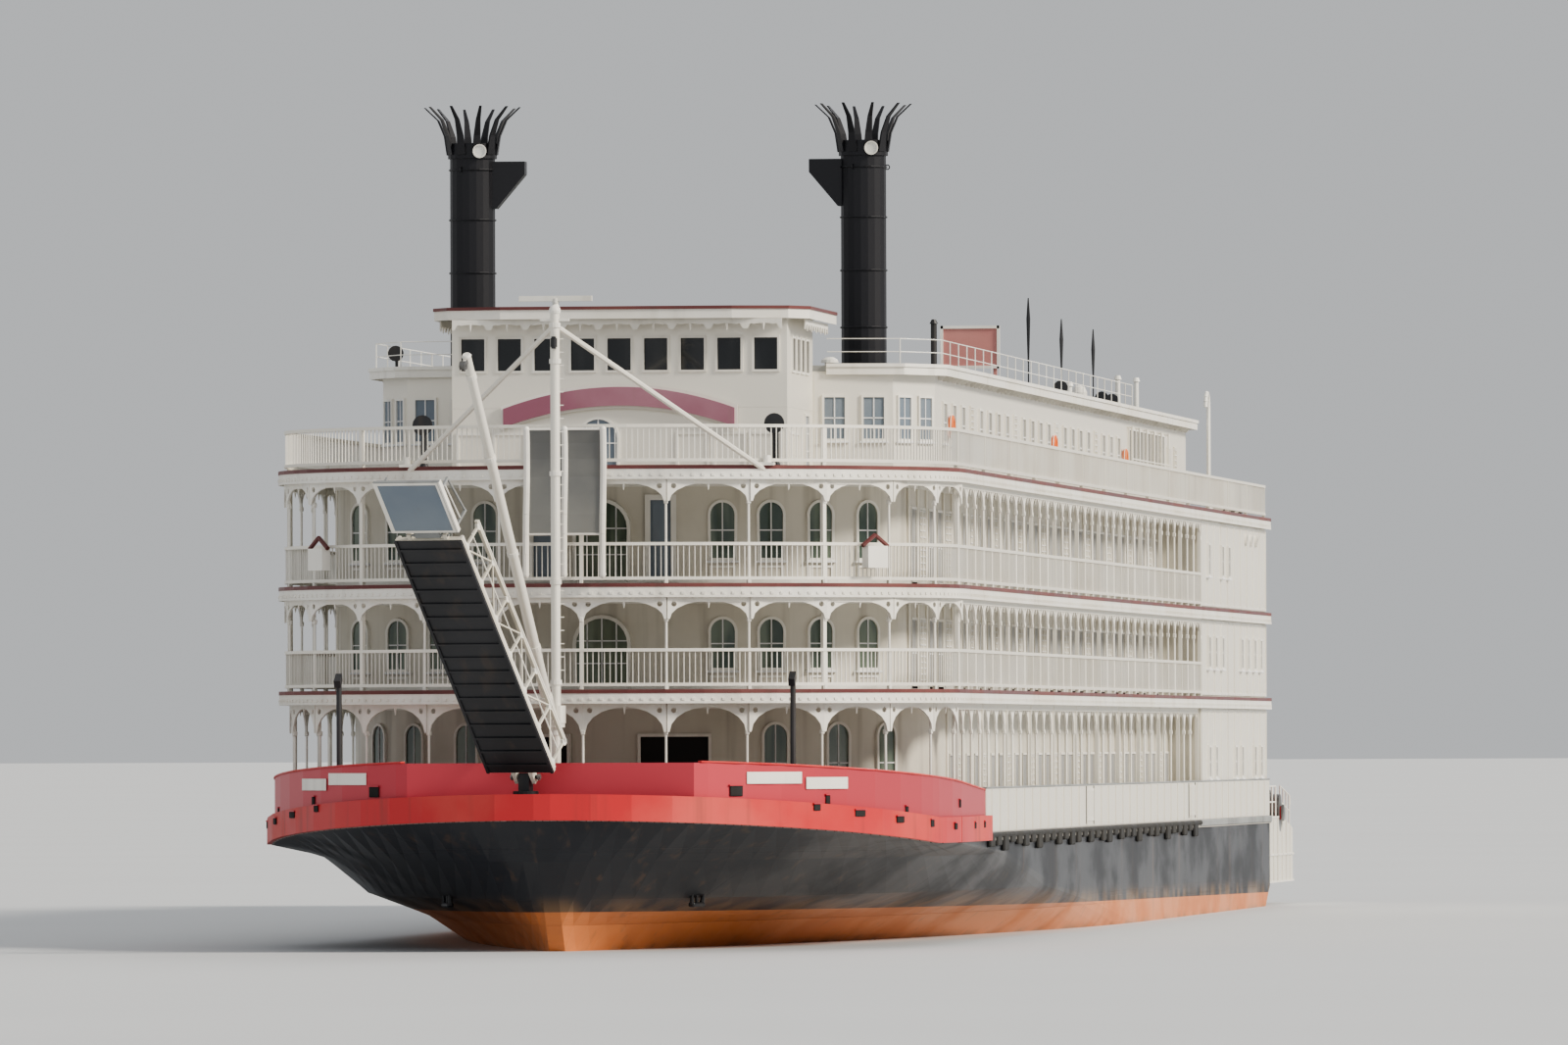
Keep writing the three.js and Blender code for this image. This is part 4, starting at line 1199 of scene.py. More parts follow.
@dataclass
class Texas:
    """The long house on the fourth deck: windows, a white roof edge and its small parts."""

    half: float = 0.73
    start: float = 2.0
    end: float = 8.8
    terrace_afts: tuple[float, float] = (7.0, 8.1)
    terrace_heights: tuple[float, float] = (1.571, 1.679)

    def side_windows(self) -> None:
        """Sets windows and doors in turn along both sides."""
        start, end = self.terrace_afts
        afts = [self.start + 0.2 + 0.215 * index for index in range(30)]
        afts = [aft for aft in afts if not start - 0.08 < aft < end + 0.08]
        doors = afts[3::5]
        plain = side_steps([aft for aft in afts if aft not in doors], self.half)
        Opening(0.086, 0.11, Finish.CABIN_GLASS).fit("texas_windows", FOURTH_DECK + 0.085, plain)
        Shutter(0.07, 0.195).fit("texas_doors", FOURTH_DECK + 0.003, side_steps(doors, self.half))

    def end_windows(self) -> None:
        """Sets blue-grey windows in the slanting corners of the front, and windows and a door aft."""
        corners = [Vector((from_aft(aft), y)) for aft, y in ((1.7803, 0.44), (1.83, 0.64), (2.0, 0.73))]
        steps = []
        for start, end in zip(corners, corners[1:]):
            turn = math.atan2(start.y - end.y, start.x - end.x)
            for spot in (start.lerp(end, 0.25), start.lerp(end, 0.75)):
                steps += [(spot, turn), (Vector((spot.x, -spot.y)), -turn - math.pi)]
        Opening(0.066, 0.12, Finish.BLUE_GREY).fit("texas_front_windows", FOURTH_DECK + 0.085, steps)
        steps = cross_steps(self.end, (0.2, -0.2, 0.36, -0.36, 0.52, -0.52, 0.66, -0.66))
        Opening(0.085, 0.11, Finish.CABIN_GLASS).fit("texas_aft_windows", FOURTH_DECK + 0.105, steps)
        door = Opening(0.11, 0.205, Finish.CABIN_GLASS, crossbars=2, sill=False)
        door.fit("texas_aft_door", FOURTH_DECK + 0.004, cross_steps(self.end, (0.0,)))

    def terrace(self) -> None:
        """Glazes the wide opening in each side and rails it off."""
        (start, end), (low, high) = self.terrace_afts, self.terrace_heights
        steps = side_steps([(start + end) / 2 + 0.215 * index for index in range(-2, 3)], self.half)
        panel = Opening(0.2, high - low - 0.008, Finish.DARK_GLASS, False, 0.006, 0.005, 0, 0, False)
        panel.fit("terrace_glazing", low + 0.003, steps)
        parts = []
        for side in Side:
            y, wall = side.value * (self.half + 0.016), side.value * (self.half - 0.001)
            for height in (low - 0.012, low + 0.012):
                parts.append(rod((from_aft(end), y, height), (from_aft(start), y, height), 0.0022, 6))
            for index in range(6):
                x = from_aft(end + (start - end) * index / 5)
                parts.append(rod((x, y, low - 0.014), (x, y, high), 0.0032, 6))
                parts += [rod((x, wall, at), (x, y, at), 0.003, 6) for at in (low - 0.012, high - 0.003)]
        done(parts, "terrace_rails", Finish.TRIM)

    def roof_edge(self) -> None:
        """Runs a white fascia with a gutter and brackets along the roof's edge."""
        path = both_sides(((8.83, 0.76), (1.99, 0.76), (1.822, 0.668), (1.781, 0.47)))
        parts = []
        for run in (path[:4], path[4:], [path[-1], path[0]]):
            parts.append(band(inset_path(run, -0.004), TEXAS_ROOF - 0.024, TEXAS_ROOF + 0.003, 0.0036))
            parts.append(band(inset_path(run, -0.008), TEXAS_ROOF - 0.004, TEXAS_ROOF + 0.005, 0.005))
        done(parts, "texas_roof_edge", Finish.TRIM)
        foot = TEXAS_ROOF - 0.034
        bracket = box((-0.003, -0.026, foot), (0.003, 0.0, TEXAS_ROOF - 0.0155))
        faces(bracket, Vector((0, 0, -1)))
        bpy.ops.transform.resize(value=(1.0, 0.25, 1.0), center_override=(0.0, -0.026, foot))
        bpy.ops.object.mode_set(mode="OBJECT")
        steps = side_steps([2.08 + 0.1075 * index for index in range(63)], self.half + 0.027)
        done(spread(bracket, stood(steps)), "texas_brackets", Finish.TRIM)

    def lifebuoys(self) -> None:
        """Hangs lifebuoys along both sides."""
        buoy = paint(ring((0, 0.008, 0), 0.026, 0.007, ON_EDGE), Finish.ORANGE)
        rope = paint(ring((0, 0.008, 0), 0.0345, 0.0012, ON_EDGE, 24, 6), Finish.TRIM)
        places = stood(side_steps((2.31, 4.88, 6.86), self.half + 0.002), FOURTH_DECK + 0.13)
        done(spread(joined([buoy, rope]), places), "lifebuoys", None, smooth=True)

    def build(self) -> None:
        """Builds the whole house's dressing."""
        for step in (self.side_windows, self.end_windows, self.terrace, self.roof_edge, self.lifebuoys):
            step()


@dataclass
class Pilothouse:
    """Glass, inner fittings, brackets and the blank banner of the pilothouse."""

    low: float = 1.706
    high: float = 1.79
    pitch: float = 0.095

    def round_steps(self, aft: float, afts: Numbers, half: float, free: float = -1.0) -> Steps:
        """Nine places across the front, but for those within free of the middle, and more on the sides."""
        breadths = [y for y in (self.pitch * (index - 4) for index in range(9)) if abs(y) > free]
        return cross_steps(aft, breadths, AHEAD) + side_steps(afts, half)

    def windows(self) -> None:
        """Hangs tinted panes inside the cut windows and frames each with a raised white bead."""
        front, low, high = from_aft(PILOT_FRONT), self.low - 0.004, self.high + 0.004
        panes = [box((front - 0.008, -0.42, low), (front - 0.005, 0.42, high))]
        for side in Side:
            panes.append(box((from_aft(PILOT_BACK) + 0.05, side.value * (PILOT_HALF - 0.008), low),
                             (front - 0.05, side.value * (PILOT_HALF - 0.005), high)))
        done(panes, "pilothouse_glass", Finish.DARK_GLASS)
        rim = box((-0.036, 0.0, self.low - 0.005), (0.036, 0.004, self.high + 0.005))
        cut(rim, box((-0.03, -0.01, self.low + 0.001), (0.03, 0.02, self.high - 0.001)))
        afts = [(PILOT_FRONT + PILOT_BACK) / 2 + (index - 1.5) * self.pitch for index in range(4)]
        places = stood(self.round_steps(PILOT_FRONT, afts, PILOT_HALF))
        done(spread(rim, places), "pilothouse_window_beads", Finish.TRIM)

    def banner(self) -> None:
        """Lays the blank arched banner under the front windows, with a white border."""
        sheets = (("banner_border", 0.005, 0.007, Finish.TRIM), ("banner", 0.009, 0.0, Finish.BANNER))
        for name, thick, grow, finish in sheets:
            piece = made(bpy.ops.mesh.primitive_grid_add, x_subdivisions=24, y_subdivisions=1, size=1.0)
            for corner in piece.data.vertices:
                share = corner.co.x * 2
                height = 1.64 - 0.055 * share * share + math.copysign(0.024 + grow, corner.co.y)
                corner.co = (from_aft(PILOT_FRONT) + thick, share * (0.3 + grow), height)
            applied(piece, "SOLIDIFY", thickness=thick, offset=1.0)
            done(tidy(piece), f"pilothouse_{name}", finish)

    def roof_trim(self) -> None:
        """Edges the roof in white with a dark line on top and hangs small arches below it."""
        path = both_sides(((1.86, 0.485), (1.29, 0.485), (1.215, 0.44), (1.18, 0.3)))
        line = PILOT_ROOF - 0.004
        done(band(inset_path(path, -0.003), 1.838, line, 0.0028), "pilothouse_roof_edge", Finish.TRIM)
        dark = band(inset_path(path, -0.006), line, PILOT_ROOF + 0.004, 0.012)
        done(dark, "pilothouse_roof_line", Finish.FASCIA)
        arch = Arcade("pilothouse", BALCONY, 1.7, 1.8385, rise=0.026, thick=0.004).arch(self.pitch)
        steps = self.round_steps(1.195, [1.35 + self.pitch * index for index in range(5)], 0.474)
        done(spread(arch, stood(steps)), "pilothouse_eave_arches", Finish.TRIM)

    def helm(self) -> None:
        """Fits the console, the steering wheel and two chairs behind the front windows."""
        x, floor = from_aft(PILOT_FRONT) - 0.085, PILOT_FLOOR
        hub = Vector((x - 0.045, 0.0, floor + 0.085))
        console = chamfer(box((x - 0.03, -0.26, floor + 0.001), (x + 0.03, 0.26, hub.z)), 0.008, 2)
        parts = [recess(console, (0, 0, 1), 0.008, 0.004, Finish.BLACK)]
        parts.append(paint(ring(hub, 0.045, 0.003, (0.0, math.pi / 2, 0.0), 28, 6), Finish.BRASS))
        for spoke in range(4):
            turn = math.pi * spoke / 4
            reach = Vector((0.0, math.cos(turn), math.sin(turn))) * 0.056
            parts.append(rod(hub - reach, hub + reach, 0.002, 6))
        for y in (-0.15, 0.15):
            parts.append(rod((x - 0.12, y, floor + 0.001), (x - 0.12, y, floor + 0.04), 0.006))
            seat = box((x - 0.145, y - 0.025, floor + 0.04), (x - 0.095, y + 0.025, floor + 0.052))
            back = box((x - 0.15, y - 0.024, floor + 0.052), (x - 0.14, y + 0.024, floor + 0.11))
            parts += [chamfer(seat, 0.005, 2), chamfer(back, 0.004, 2)]
        done(parts, "pilothouse_helm", None)

    def base(self) -> None:
        """Panels the base under the pilothouse, with a door in each side and one in front."""
        panel = recess(box((-0.044, -0.002, 0.006), (0.044, 0.004, 0.1)), OUT, 0.007, 0.003, Finish.WHITE)
        steps = self.round_steps(PILOT_FRONT, (PILOT_FRONT + 0.075, PILOT_FRONT + 0.175), PILOT_HALF, 0.1)
        done(spread(panel, stood(steps, FOURTH_DECK)), "pilothouse_base_panels", None)
        door = Opening(0.08, 0.148, Finish.BLUE_GREY, crossbars=2, sill=False)
        door.fit("pilothouse_doors", FOURTH_DECK + 0.004, side_steps((1.62,), PILOT_HALF))
        door = Opening(0.11, 0.135, Finish.BLUE_GREY, arched=True, sill=False)
        door.fit("pilothouse_front_door", FOURTH_DECK + 0.004, cross_steps(PILOT_FRONT, (-0.055,), AHEAD))

    def build(self) -> None:
        """Builds the whole pilothouse's dressing."""
        for step in (self.windows, self.banner, self.roof_trim, self.helm, self.base):
            step()


def edge_run(start: float, end: float, side: Side, inset: float, steps: int) -> list[Vector]:
    """A stretch of the main deck's edge between two stations, on one side.

    Args:
        start: its forward end, as a distance aft.
        end: its after end.
        side: port or starboard.
        inset: how far inside the edge.
        steps: how many parts it is divided into.

    Returns:
        The points, in the path's usual direction.
    """
    points = []
    for step in range(steps + 1):
        aft = end + (start - end) * step / steps
        reach = min(1.0, max(0.0, (SHOULDER - aft) / (SHOULDER - BOW_AFT)))
        points.append((aft, HALF_BEAM * math.sqrt(1 - reach ** 2)))
    path = both_sides(points)
    return inset_path(path[:steps + 1] if side is Side.PORT else path[steps + 1:], inset)


@dataclass
class BowDressing:
    """Freeing ports, blank name boards, cap rails and fenders round the bow and along the guard."""

    strake_out: float = 0.0121
    bulwark_in: float = 0.008
    slots: tuple[tuple[float, ...], ...] = (
        (0.018, 0.628, 0.04, 0.026), (0.231, 0.586, 0.026, 0.016), (0.294, 0.601, 0.018, 0.03),
        (0.4, 0.57, 0.048, 0.016), (0.607, 0.553, 0.044, 0.016), (0.695, 0.573, 0.018, 0.026),
        (0.83, 0.542, 0.026, 0.018), (1.066, 0.533, 0.028, 0.016), (1.25, 0.59, 0.022, 0.02),
        (1.42, 0.533, 0.026, 0.016), (1.64, 0.534, 0.026, 0.016),
    )

    def freeing_ports(self) -> None:
        """Sets look-alike slots low on the strake and bulwark: blocks of painted shade where the openings would
        be, with a red lip.
        """
        pieces = []
        for aft, height, width, tall in self.slots:
            for side in Side:
                slot = chamfer(box((-width / 2, -0.0005, -tall / 2), (width / 2, 0.0022, tall / 2)), 0.0018)
                half, top = width / 2 + 0.003, tall / 2
                lip = box((-half, -0.0005, top), (half, 0.004, top + 0.003))
                on_strake = height < MAIN_DECK + 0.043 + sheer(aft)
                inset = -self.strake_out if on_strake else self.bulwark_in
                before, spot, after = edge_run(aft - 0.01, aft + 0.01, side, inset, 2)
                turn = math.atan2(after.y - before.y, after.x - before.x)
                # The slot block is painted shade, not a hole.
                slot = joined([paint(slot, Finish.OPENING_SHADE), paint(lip, Finish.RED)])
                pieces.append(moved(slot, placed(spot.x, spot.y, height, turn)))
        done(pieces, "freeing_ports", None)

    def strake_tails(self) -> None:
        """Runs the red rub strake on along the guard to the end of the bulwark."""
        low, high = (lambda aft, up=up: MAIN_DECK + up + sheer(aft) for up in (-0.022, 0.043))
        for side in Side:
            tail = band(edge_run(1.1503, 1.83, side, -0.012, 16), low, high, 0.0115)
            done(tail, f"strake_tail_{side.word}", Finish.STRAKE)

    def name_boards(self) -> None:
        """Sets two blank white boards on each side of the bulwark."""
        boards = []
        for side in Side:
            for start, end in ((0.042, 0.199), (0.214, 0.373)):
                path = edge_run(start, end, side, self.bulwark_in - 0.003, 10)
                centre = 0.67 - 0.04 * (start + end)
                boards.append(band(path, centre - 0.015, centre + 0.015, 0.003))
        done(chamfer(joined(boards), 0.001), "name_boards", Finish.TRIM)

    def cap_rails(self) -> None:
        """Caps the red bulwark in red and the white side bulwarks in dark grey."""
        low, high = (lambda aft, up=up: up - 0.08 * (max(aft, -0.1) + 0.1) / 1.93 for up in (0.701, 0.706))
        for side in Side:
            cap = band(edge_run(-0.055, 1.828, side, self.bulwark_in - 0.003, 26), low, high, 0.016)
            done(chamfer(cap, 0.0015), f"bulwark_cap_{side.word}", Finish.STRAKE)
            y = side.value * 0.876
            rail = box((from_aft(9.944), y - 0.006, 0.626), (from_aft(1.833), y + 0.006, 0.631))
            done(chamfer(rail, 0.0015), f"side_cap_{side.word}", Finish.GREY)

    def gates(self) -> None:
        """Ribs the white side bulwarks and marks their gates with strips of painted shade for the gaps, and
        hinged leaves.
        """
        rib = box((-0.0025, 0.0, 0.516), (0.0025, 0.0035, 0.624))
        steps = side_steps([1.95 + 0.2 * index for index in range(40)], 0.88)
        done(spread(rib, stood(steps)), "side_bulwark_ribs", Finish.WHITE)
        parts = []
        for side in Side:
            y = side.value * 0.8805
            for x in [from_aft(aft) for aft in (4.35, 4.55, 7.3, 7.5)]:
                # A thin strip of painted shade marks each gap.
                gap = box((x - 0.004, y - 0.001, 0.52), (x + 0.004, y + 0.001, 0.625))
                parts.append(paint(gap, Finish.OPENING_SHADE))
            y = side.value * 0.881
            for x in [from_aft(aft) for aft in (4.45, 7.4)]:
                leaf = paint(box((x - 0.09, y - 0.002, 0.528), (x + 0.09, y + 0.0015, 0.618)), Finish.TRIM)
                parts.append(recess(leaf, (0, side.value, 0), 0.008, 0.001, Finish.WHITE))
        done(parts, "bulwark_gates", None)

    def fenders(self) -> None:
        """Hangs a fringe of worn rubber fenders along the guard, as far as the after house."""
        for side in Side:
            y = side.value * 0.885
            fringe = []
            for index in range(34):
                x = from_aft(1.9 + 0.168 * index)
                foot = 0.474 + 0.009 * math.sin(2.4 * index) + 0.004 * math.sin(5.1 * index)
                fringe.append(box((x - 0.052, y - 0.006, foot), (x + 0.052, y + 0.006, 0.509)))
            parts = [rod((from_aft(7.62), y, 0.505), (from_aft(1.842), y, 0.505), 0.007)]
            parts.append(chamfer(joined(fringe), 0.005, 2))
            done(parts, f"guard_fender_{side.word}", Finish.RUBBER)
            strip = box((from_aft(9.945), y - 0.004, 0.494), (from_aft(7.62), y + 0.003, 0.5135))
            done(chamfer(strip, 0.002), f"guard_strip_{side.word}", Finish.GREY)

    def anchors(self) -> None:
        """Hangs a stockless anchor under a hawse ring on each side of the stem."""
        hull = bpy.data.objects["hull_topsides"]
        for side in Side:
            guess = Vector((from_aft(0.33), side.value * 0.3, 0.372))
            _, spot, normal, _ = hull.closest_point_on_mesh(guess)
            parts = [rod((0, 0.012, -0.01), (0, 0.012, 0.06), 0.0045)]
            parts.append(chamfer(box((-0.026, 0.003, -0.02), (0.026, 0.021, -0.008)), 0.004, 2))
            for x, tip in ((-0.022, -0.028), (0.022, 0.028)):
                parts.append(rod((x, 0.012, -0.014), (tip, 0.017, 0.036), 0.007, 6, 0.001))
            parts.append(ring((0, 0.012, 0.068), 0.008, 0.002, ON_EDGE, 16, 6))
            for link in range(5):
                tilt = (math.pi / 2, 0, math.pi / 2 * (link % 2))
                parts.append(ring((0, 0.012, 0.078 + 0.01 * link), 0.0055, 0.0015, tilt, 12, 6))
            anchor = moved(joined(parts), placed(*spot, math.atan2(normal.y, normal.x) - math.pi / 2))
            done(anchor, f"anchor_{side.word}", Finish.BLACK)

    def build(self) -> None:
        """Builds everything round the bow."""
        for step in (self.strake_tails, self.freeing_ports, self.name_boards, self.cap_rails, self.gates,
                     self.fenders, self.anchors):
            step()


def raised(pivot: Numbers, swing: float, rise: float) -> Matrix:
    """The frame of a part slewed by swing and raised by rise about a pivot. Its +X runs along the part."""
    slew = Matrix.Rotation(math.radians(swing), 4, "Z")
    return Matrix.Translation(Vector(pivot)) @ slew @ Matrix.Rotation(math.radians(-rise), 4, "Y")


@dataclass
class LandingStage:
    """The stage's dark plated underside, planked top, truss gussets and its apron's cleats and rails."""

    frame: Matrix = field(default_factory=lambda: raised((5.14, -0.05, 0.665), -20.0, 50.0))
    half: float = 0.092
    start: float = 0.026
    end: float = 0.768
    truss_y: float = 0.087
    truss_top: float = 0.09
    apron_start: float = 0.792
    apron_end: float = 0.949

    def set_in(self, parts: list[Piece], name: str, finish: Finish | None, body: str = "landing_stage") -> None:
        """Moves parts from the stage's own frame into the boat's and finishes them."""
        done(moved(joined(parts), self.frame), name, finish, body)

    def plating(self) -> None:
        """Plates the underside in black, with cross ribs and edge angles, and lays planks on top."""
        half, start, end = self.half, self.start, self.end
        rib = box((start + 0.023, 0.006 - half, -0.0175), (start + 0.029, half - 0.006, -0.0138))
        plate = box((start, 0.001 - half, -0.0142), (end, half - 0.001, -0.0118))
        parts = [plate, repeated(rib, 17, (0.043, 0.0, 0.0))]
        for sign in (-1, 1):
            parts.append(box((start, sign * (half + 0.0012), -0.018), (end, sign * (half - 0.006), -0.0105)))
        self.set_in(parts, "stage_underside", Finish.BLACK)
        plank = box((0.034, 0.006 - self.truss_y, -0.0005), (0.0452, self.truss_y - 0.006, 0.0022))
        plank = repeated(chamfer(plank, 0.0006), 58, (0.0126, 0.0, 0.0))
        self.set_in([plank], "stage_planks", Finish.WOOD)

    def truss(self) -> None:
        """Adds gusset plates, hand rails and curbs to the two trusses, and caps the pivot pin."""
        parts, caps, top = [], [], self.truss_top
        for sign in (-1, 1):
            y = sign * self.truss_y
            for bay in range(7):
                at = 0.044 + 0.115 * bay
                for height in (0.004, top - 0.006):
                    parts.append(rod((at, y - 0.004, height), (at, y + 0.004, height), 0.0105, 6))
            parts += [box((self.start, y - 0.0035, 0.0005), (self.end, y + 0.0035, 0.0075)),
                      box((0.045, y - 0.0052, top - 0.001), (0.748, y + 0.0052, top + 0.002)),
                      rod((0.05, y, 0.048), (0.74, y, 0.048), 0.0018, 6)]
            caps += [rod((0, sign * 0.0355, 0), (0, sign * 0.0392, 0), 0.0085, 12),
                     rod((0, sign * 0.0385, 0), (0, sign * 0.0415, 0), 0.0055, 6)]
        self.set_in(parts, "stage_trusses", Finish.TRIM)
        self.set_in(caps, "stage_pin_caps", Finish.STEEL, "stage_swivel")

    def apron(self) -> None:
        """Gives the apron cross cleats, a blue-grey plated underside and slim hand rails."""
        half, start, end = self.half, self.apron_start, self.apron_end
        cleat = box((start + 0.006, 0.012 - half, -0.0022), (start + 0.0095, half - 0.012, 0.0004))
        cleat = repeated(cleat, 11, (0.0135, 0.0, 0.0))
        self.set_in([cleat], "apron_cleats", Finish.STEEL, "stage_apron")
        parts = []
        for sign in (-1, 1):
            y = sign * (half - 0.008)
            parts.append(box((start, sign * (half + 0.001), -0.0115), (end, sign * (half - 0.004), 0.0012)))
            parts.append(rod((0.803, y, 0.03), (0.92, y, 0.021), 0.002, 6))
        self.set_in(parts, "apron_frame", Finish.TRIM, "stage_apron")
        plate = box((start + 0.001, 0.005 - half, -0.0128), (end - 0.001, half - 0.005, -0.0096))
        recess(plate, (0, 0, -1), 0.006, 0.001, Finish.BLUE_GREY)
        self.set_in([plate], "apron_underside", None, "stage_apron")

    def build(self) -> None:
        """Builds the stage's dressing."""
        for step in (self.plating, self.truss, self.apron):
            step()


@dataclass
class BoomAndMast:
    """Bands, blocks and eyes on the boom and the bow mast, with a masthead light."""

    mast_aft: float = 0.05
    mast_radius: float = 0.012
    mast_top: float = 1.822
    heel_out: float = 0.042
    heel_height: float = 0.82
    swing: float = -12.0
    rise: float = 56.0
    length: float = 1.06

    def boom(self) -> None:
        """Fits the tapered tube, its bands with eyes, and a tip sheave."""
        turn, tip = math.radians(self.swing), self.length
        heel = Vector((from_aft(self.mast_aft), 0.0, self.heel_height))
        heel += self.heel_out * Vector((math.cos(turn), math.sin(turn), 0.0))
        place = raised(heel, self.swing, self.rise)
        tube = rod((0.034, 0, 0), (tip + 0.0004, 0, 0), 0.014, 20, 0.0111)
        done(moved(tube, place), "boom_tube", Finish.WHITE, "boom", smooth=True)
        bands = [rod((tip - 0.001, 0, 0), (tip + 0.004, 0, 0), 0.0125, 14, 0.009)]
        for at in (0.052, 0.2, 0.48, 0.76, 1.0):
            radius = 0.014 - 0.003 * at / tip
            bands += [rod((at - 0.006, 0, 0), (at + 0.006, 0, 0), radius + 0.0022, 14),
                      box((at - 0.003, -0.0022, radius), (at + 0.003, 0.0022, radius + 0.011))]
        done(moved(joined(bands), place), "boom_bands", Finish.TRIM, "boom")
        at = tip - 0.008
        parts = [rod((at, -out, -0.032), (at, out, -0.032), radius, sides)
                 for out, radius, sides in ((0.0075, 0.011, 16), (0.009, 0.004, 8))]
        for y in (-0.0055, 0.0055):
            parts.append(box((at - 0.0055, y - 0.001, -0.046), (at + 0.0055, y + 0.001, -0.014)))
        done(moved(joined(parts), place), "boom_sheave", Finish.STEEL, "boom")

    def mast(self) -> None:
        """Fits bands, steps, a truck and a masthead light to the mast, and feet to its legs."""
        x, band_radius = from_aft(self.mast_aft), self.mast_radius + 0.0028
        parts = [rod((x, 0, at - 0.006), (x, 0, at + 0.006), band_radius, 14)
                 for at in (0.62, 0.775, 0.9, 1.15, 1.42, 1.7, 1.79)]
        parts += [repeated(rod((x, 0.01, 0.93), (x, 0.021, 0.93), 0.0014, 5), 26, (0, 0, 0.033)),
                  ball((x, 0, self.mast_top + 0.004), 0.015, 8),
                  box((x - 0.006, -0.036, 1.8), (x + 0.006, 0.036, 1.806))]
        done(parts, "mast_fittings", Finish.TRIM)
        lamp = [box((x + 0.008, -0.005, low), (x + 0.03, 0.005, low + 0.004)) for low in (1.731, 1.757)]
        lamp.append(rod((x + 0.02, 0, 1.735), (x + 0.02, 0, 1.757), 0.0085, 12))
        done(lamp, "masthead_light", Finish.BLACK)
        x, deck, feet = from_aft(0.625), FOURTH_DECK, []
        for side in Side:
            y = side.value * 0.46
            feet += [box((x - 0.022, y - 0.018, deck + 0.0004), (x + 0.018, y + 0.018, deck + 0.008)),
                     turned(x + 0.004, y, ((0.011, deck + 0.006), (0.0095, deck + 0.026)), 10)]
        done(feet, "mast_leg_feet", Finish.TRIM)

    def build(self) -> None:
        """Builds the fittings."""
        self.boom()
        self.mast()


@dataclass
class Stacks:
    """Bands, a roof flashing, a ladder and a white lamp on each stack."""

    aft: float = 2.2
    across: float = 0.52
    radius: float = 0.06

    def build(self) -> None:
        """Builds the dressing of both stacks."""
        x, radius = from_aft(self.aft), self.radius
        back, front, out = x - radius - 0.012, x + radius + 0.001, radius + 0.003
        for side in Side:
            y = side.value * self.across
            flashing = ((radius + 0.016, TEXAS_ROOF + 0.0008), (radius + 0.002, TEXAS_ROOF + 0.016))
            bands = [turned(x, y, flashing, 28)]
            for at in (1.84, 1.99, 2.13, 2.262):
                bands.append(ring((x, y, at), radius + 0.001, 0.0026, steps=28, sides=6))
            for turn in (math.radians(100), math.radians(220), math.radians(340)):
                eye = (x + math.cos(turn) * out, y + math.sin(turn) * out, 2.262)
                bands.append(ring(eye, 0.006, 0.0016, (math.pi / 2, 0, turn), 10, 5))
            done(bands, f"stack_bands_{side.word}", Finish.STACK)
            ladder = [rod((back, y + at, 1.735), (back, y + at, 2.25), 0.0016, 5) for at in (-0.014, 0.014)]
            rung = rod((back, y - 0.014, 1.75), (back, y + 0.014, 1.75), 0.0012, 5)
            stay = rod((back, y + 0.014, 1.8), (x - radius + 0.002, y + 0.01, 1.8), 0.0014, 5)
            ladder += [repeated(rung, 18, (0, 0, 0.0285)), repeated(stay, 4, (0, 0, 0.145))]
            done(ladder, f"stack_ladder_{side.word}", Finish.STACK)
            lamp = rod((front - 0.006, y + 0.03, 2.31), (front + 0.016, y + 0.03, 2.31), 0.013, 18, 0.0185)
            recess(paint(lamp, Finish.TRIM), (1, 0, 0), 0.003, 0.003, Finish.LAMP)
            arm = rod((front - 0.012, y + 0.026, 2.292), (front + 0.002, y + 0.03, 2.302), 0.0028, 6)
            done([lamp, paint(arm, Finish.BLACK)], f"stack_lamp_{side.word}", None)


def on_roof(*spots: tuple[float, float]) -> list[Matrix]:
    """Places on the upper roof, from distances aft and across."""
    return [placed(from_aft(aft), y, TEXAS_ROOF) for aft, y in spots]


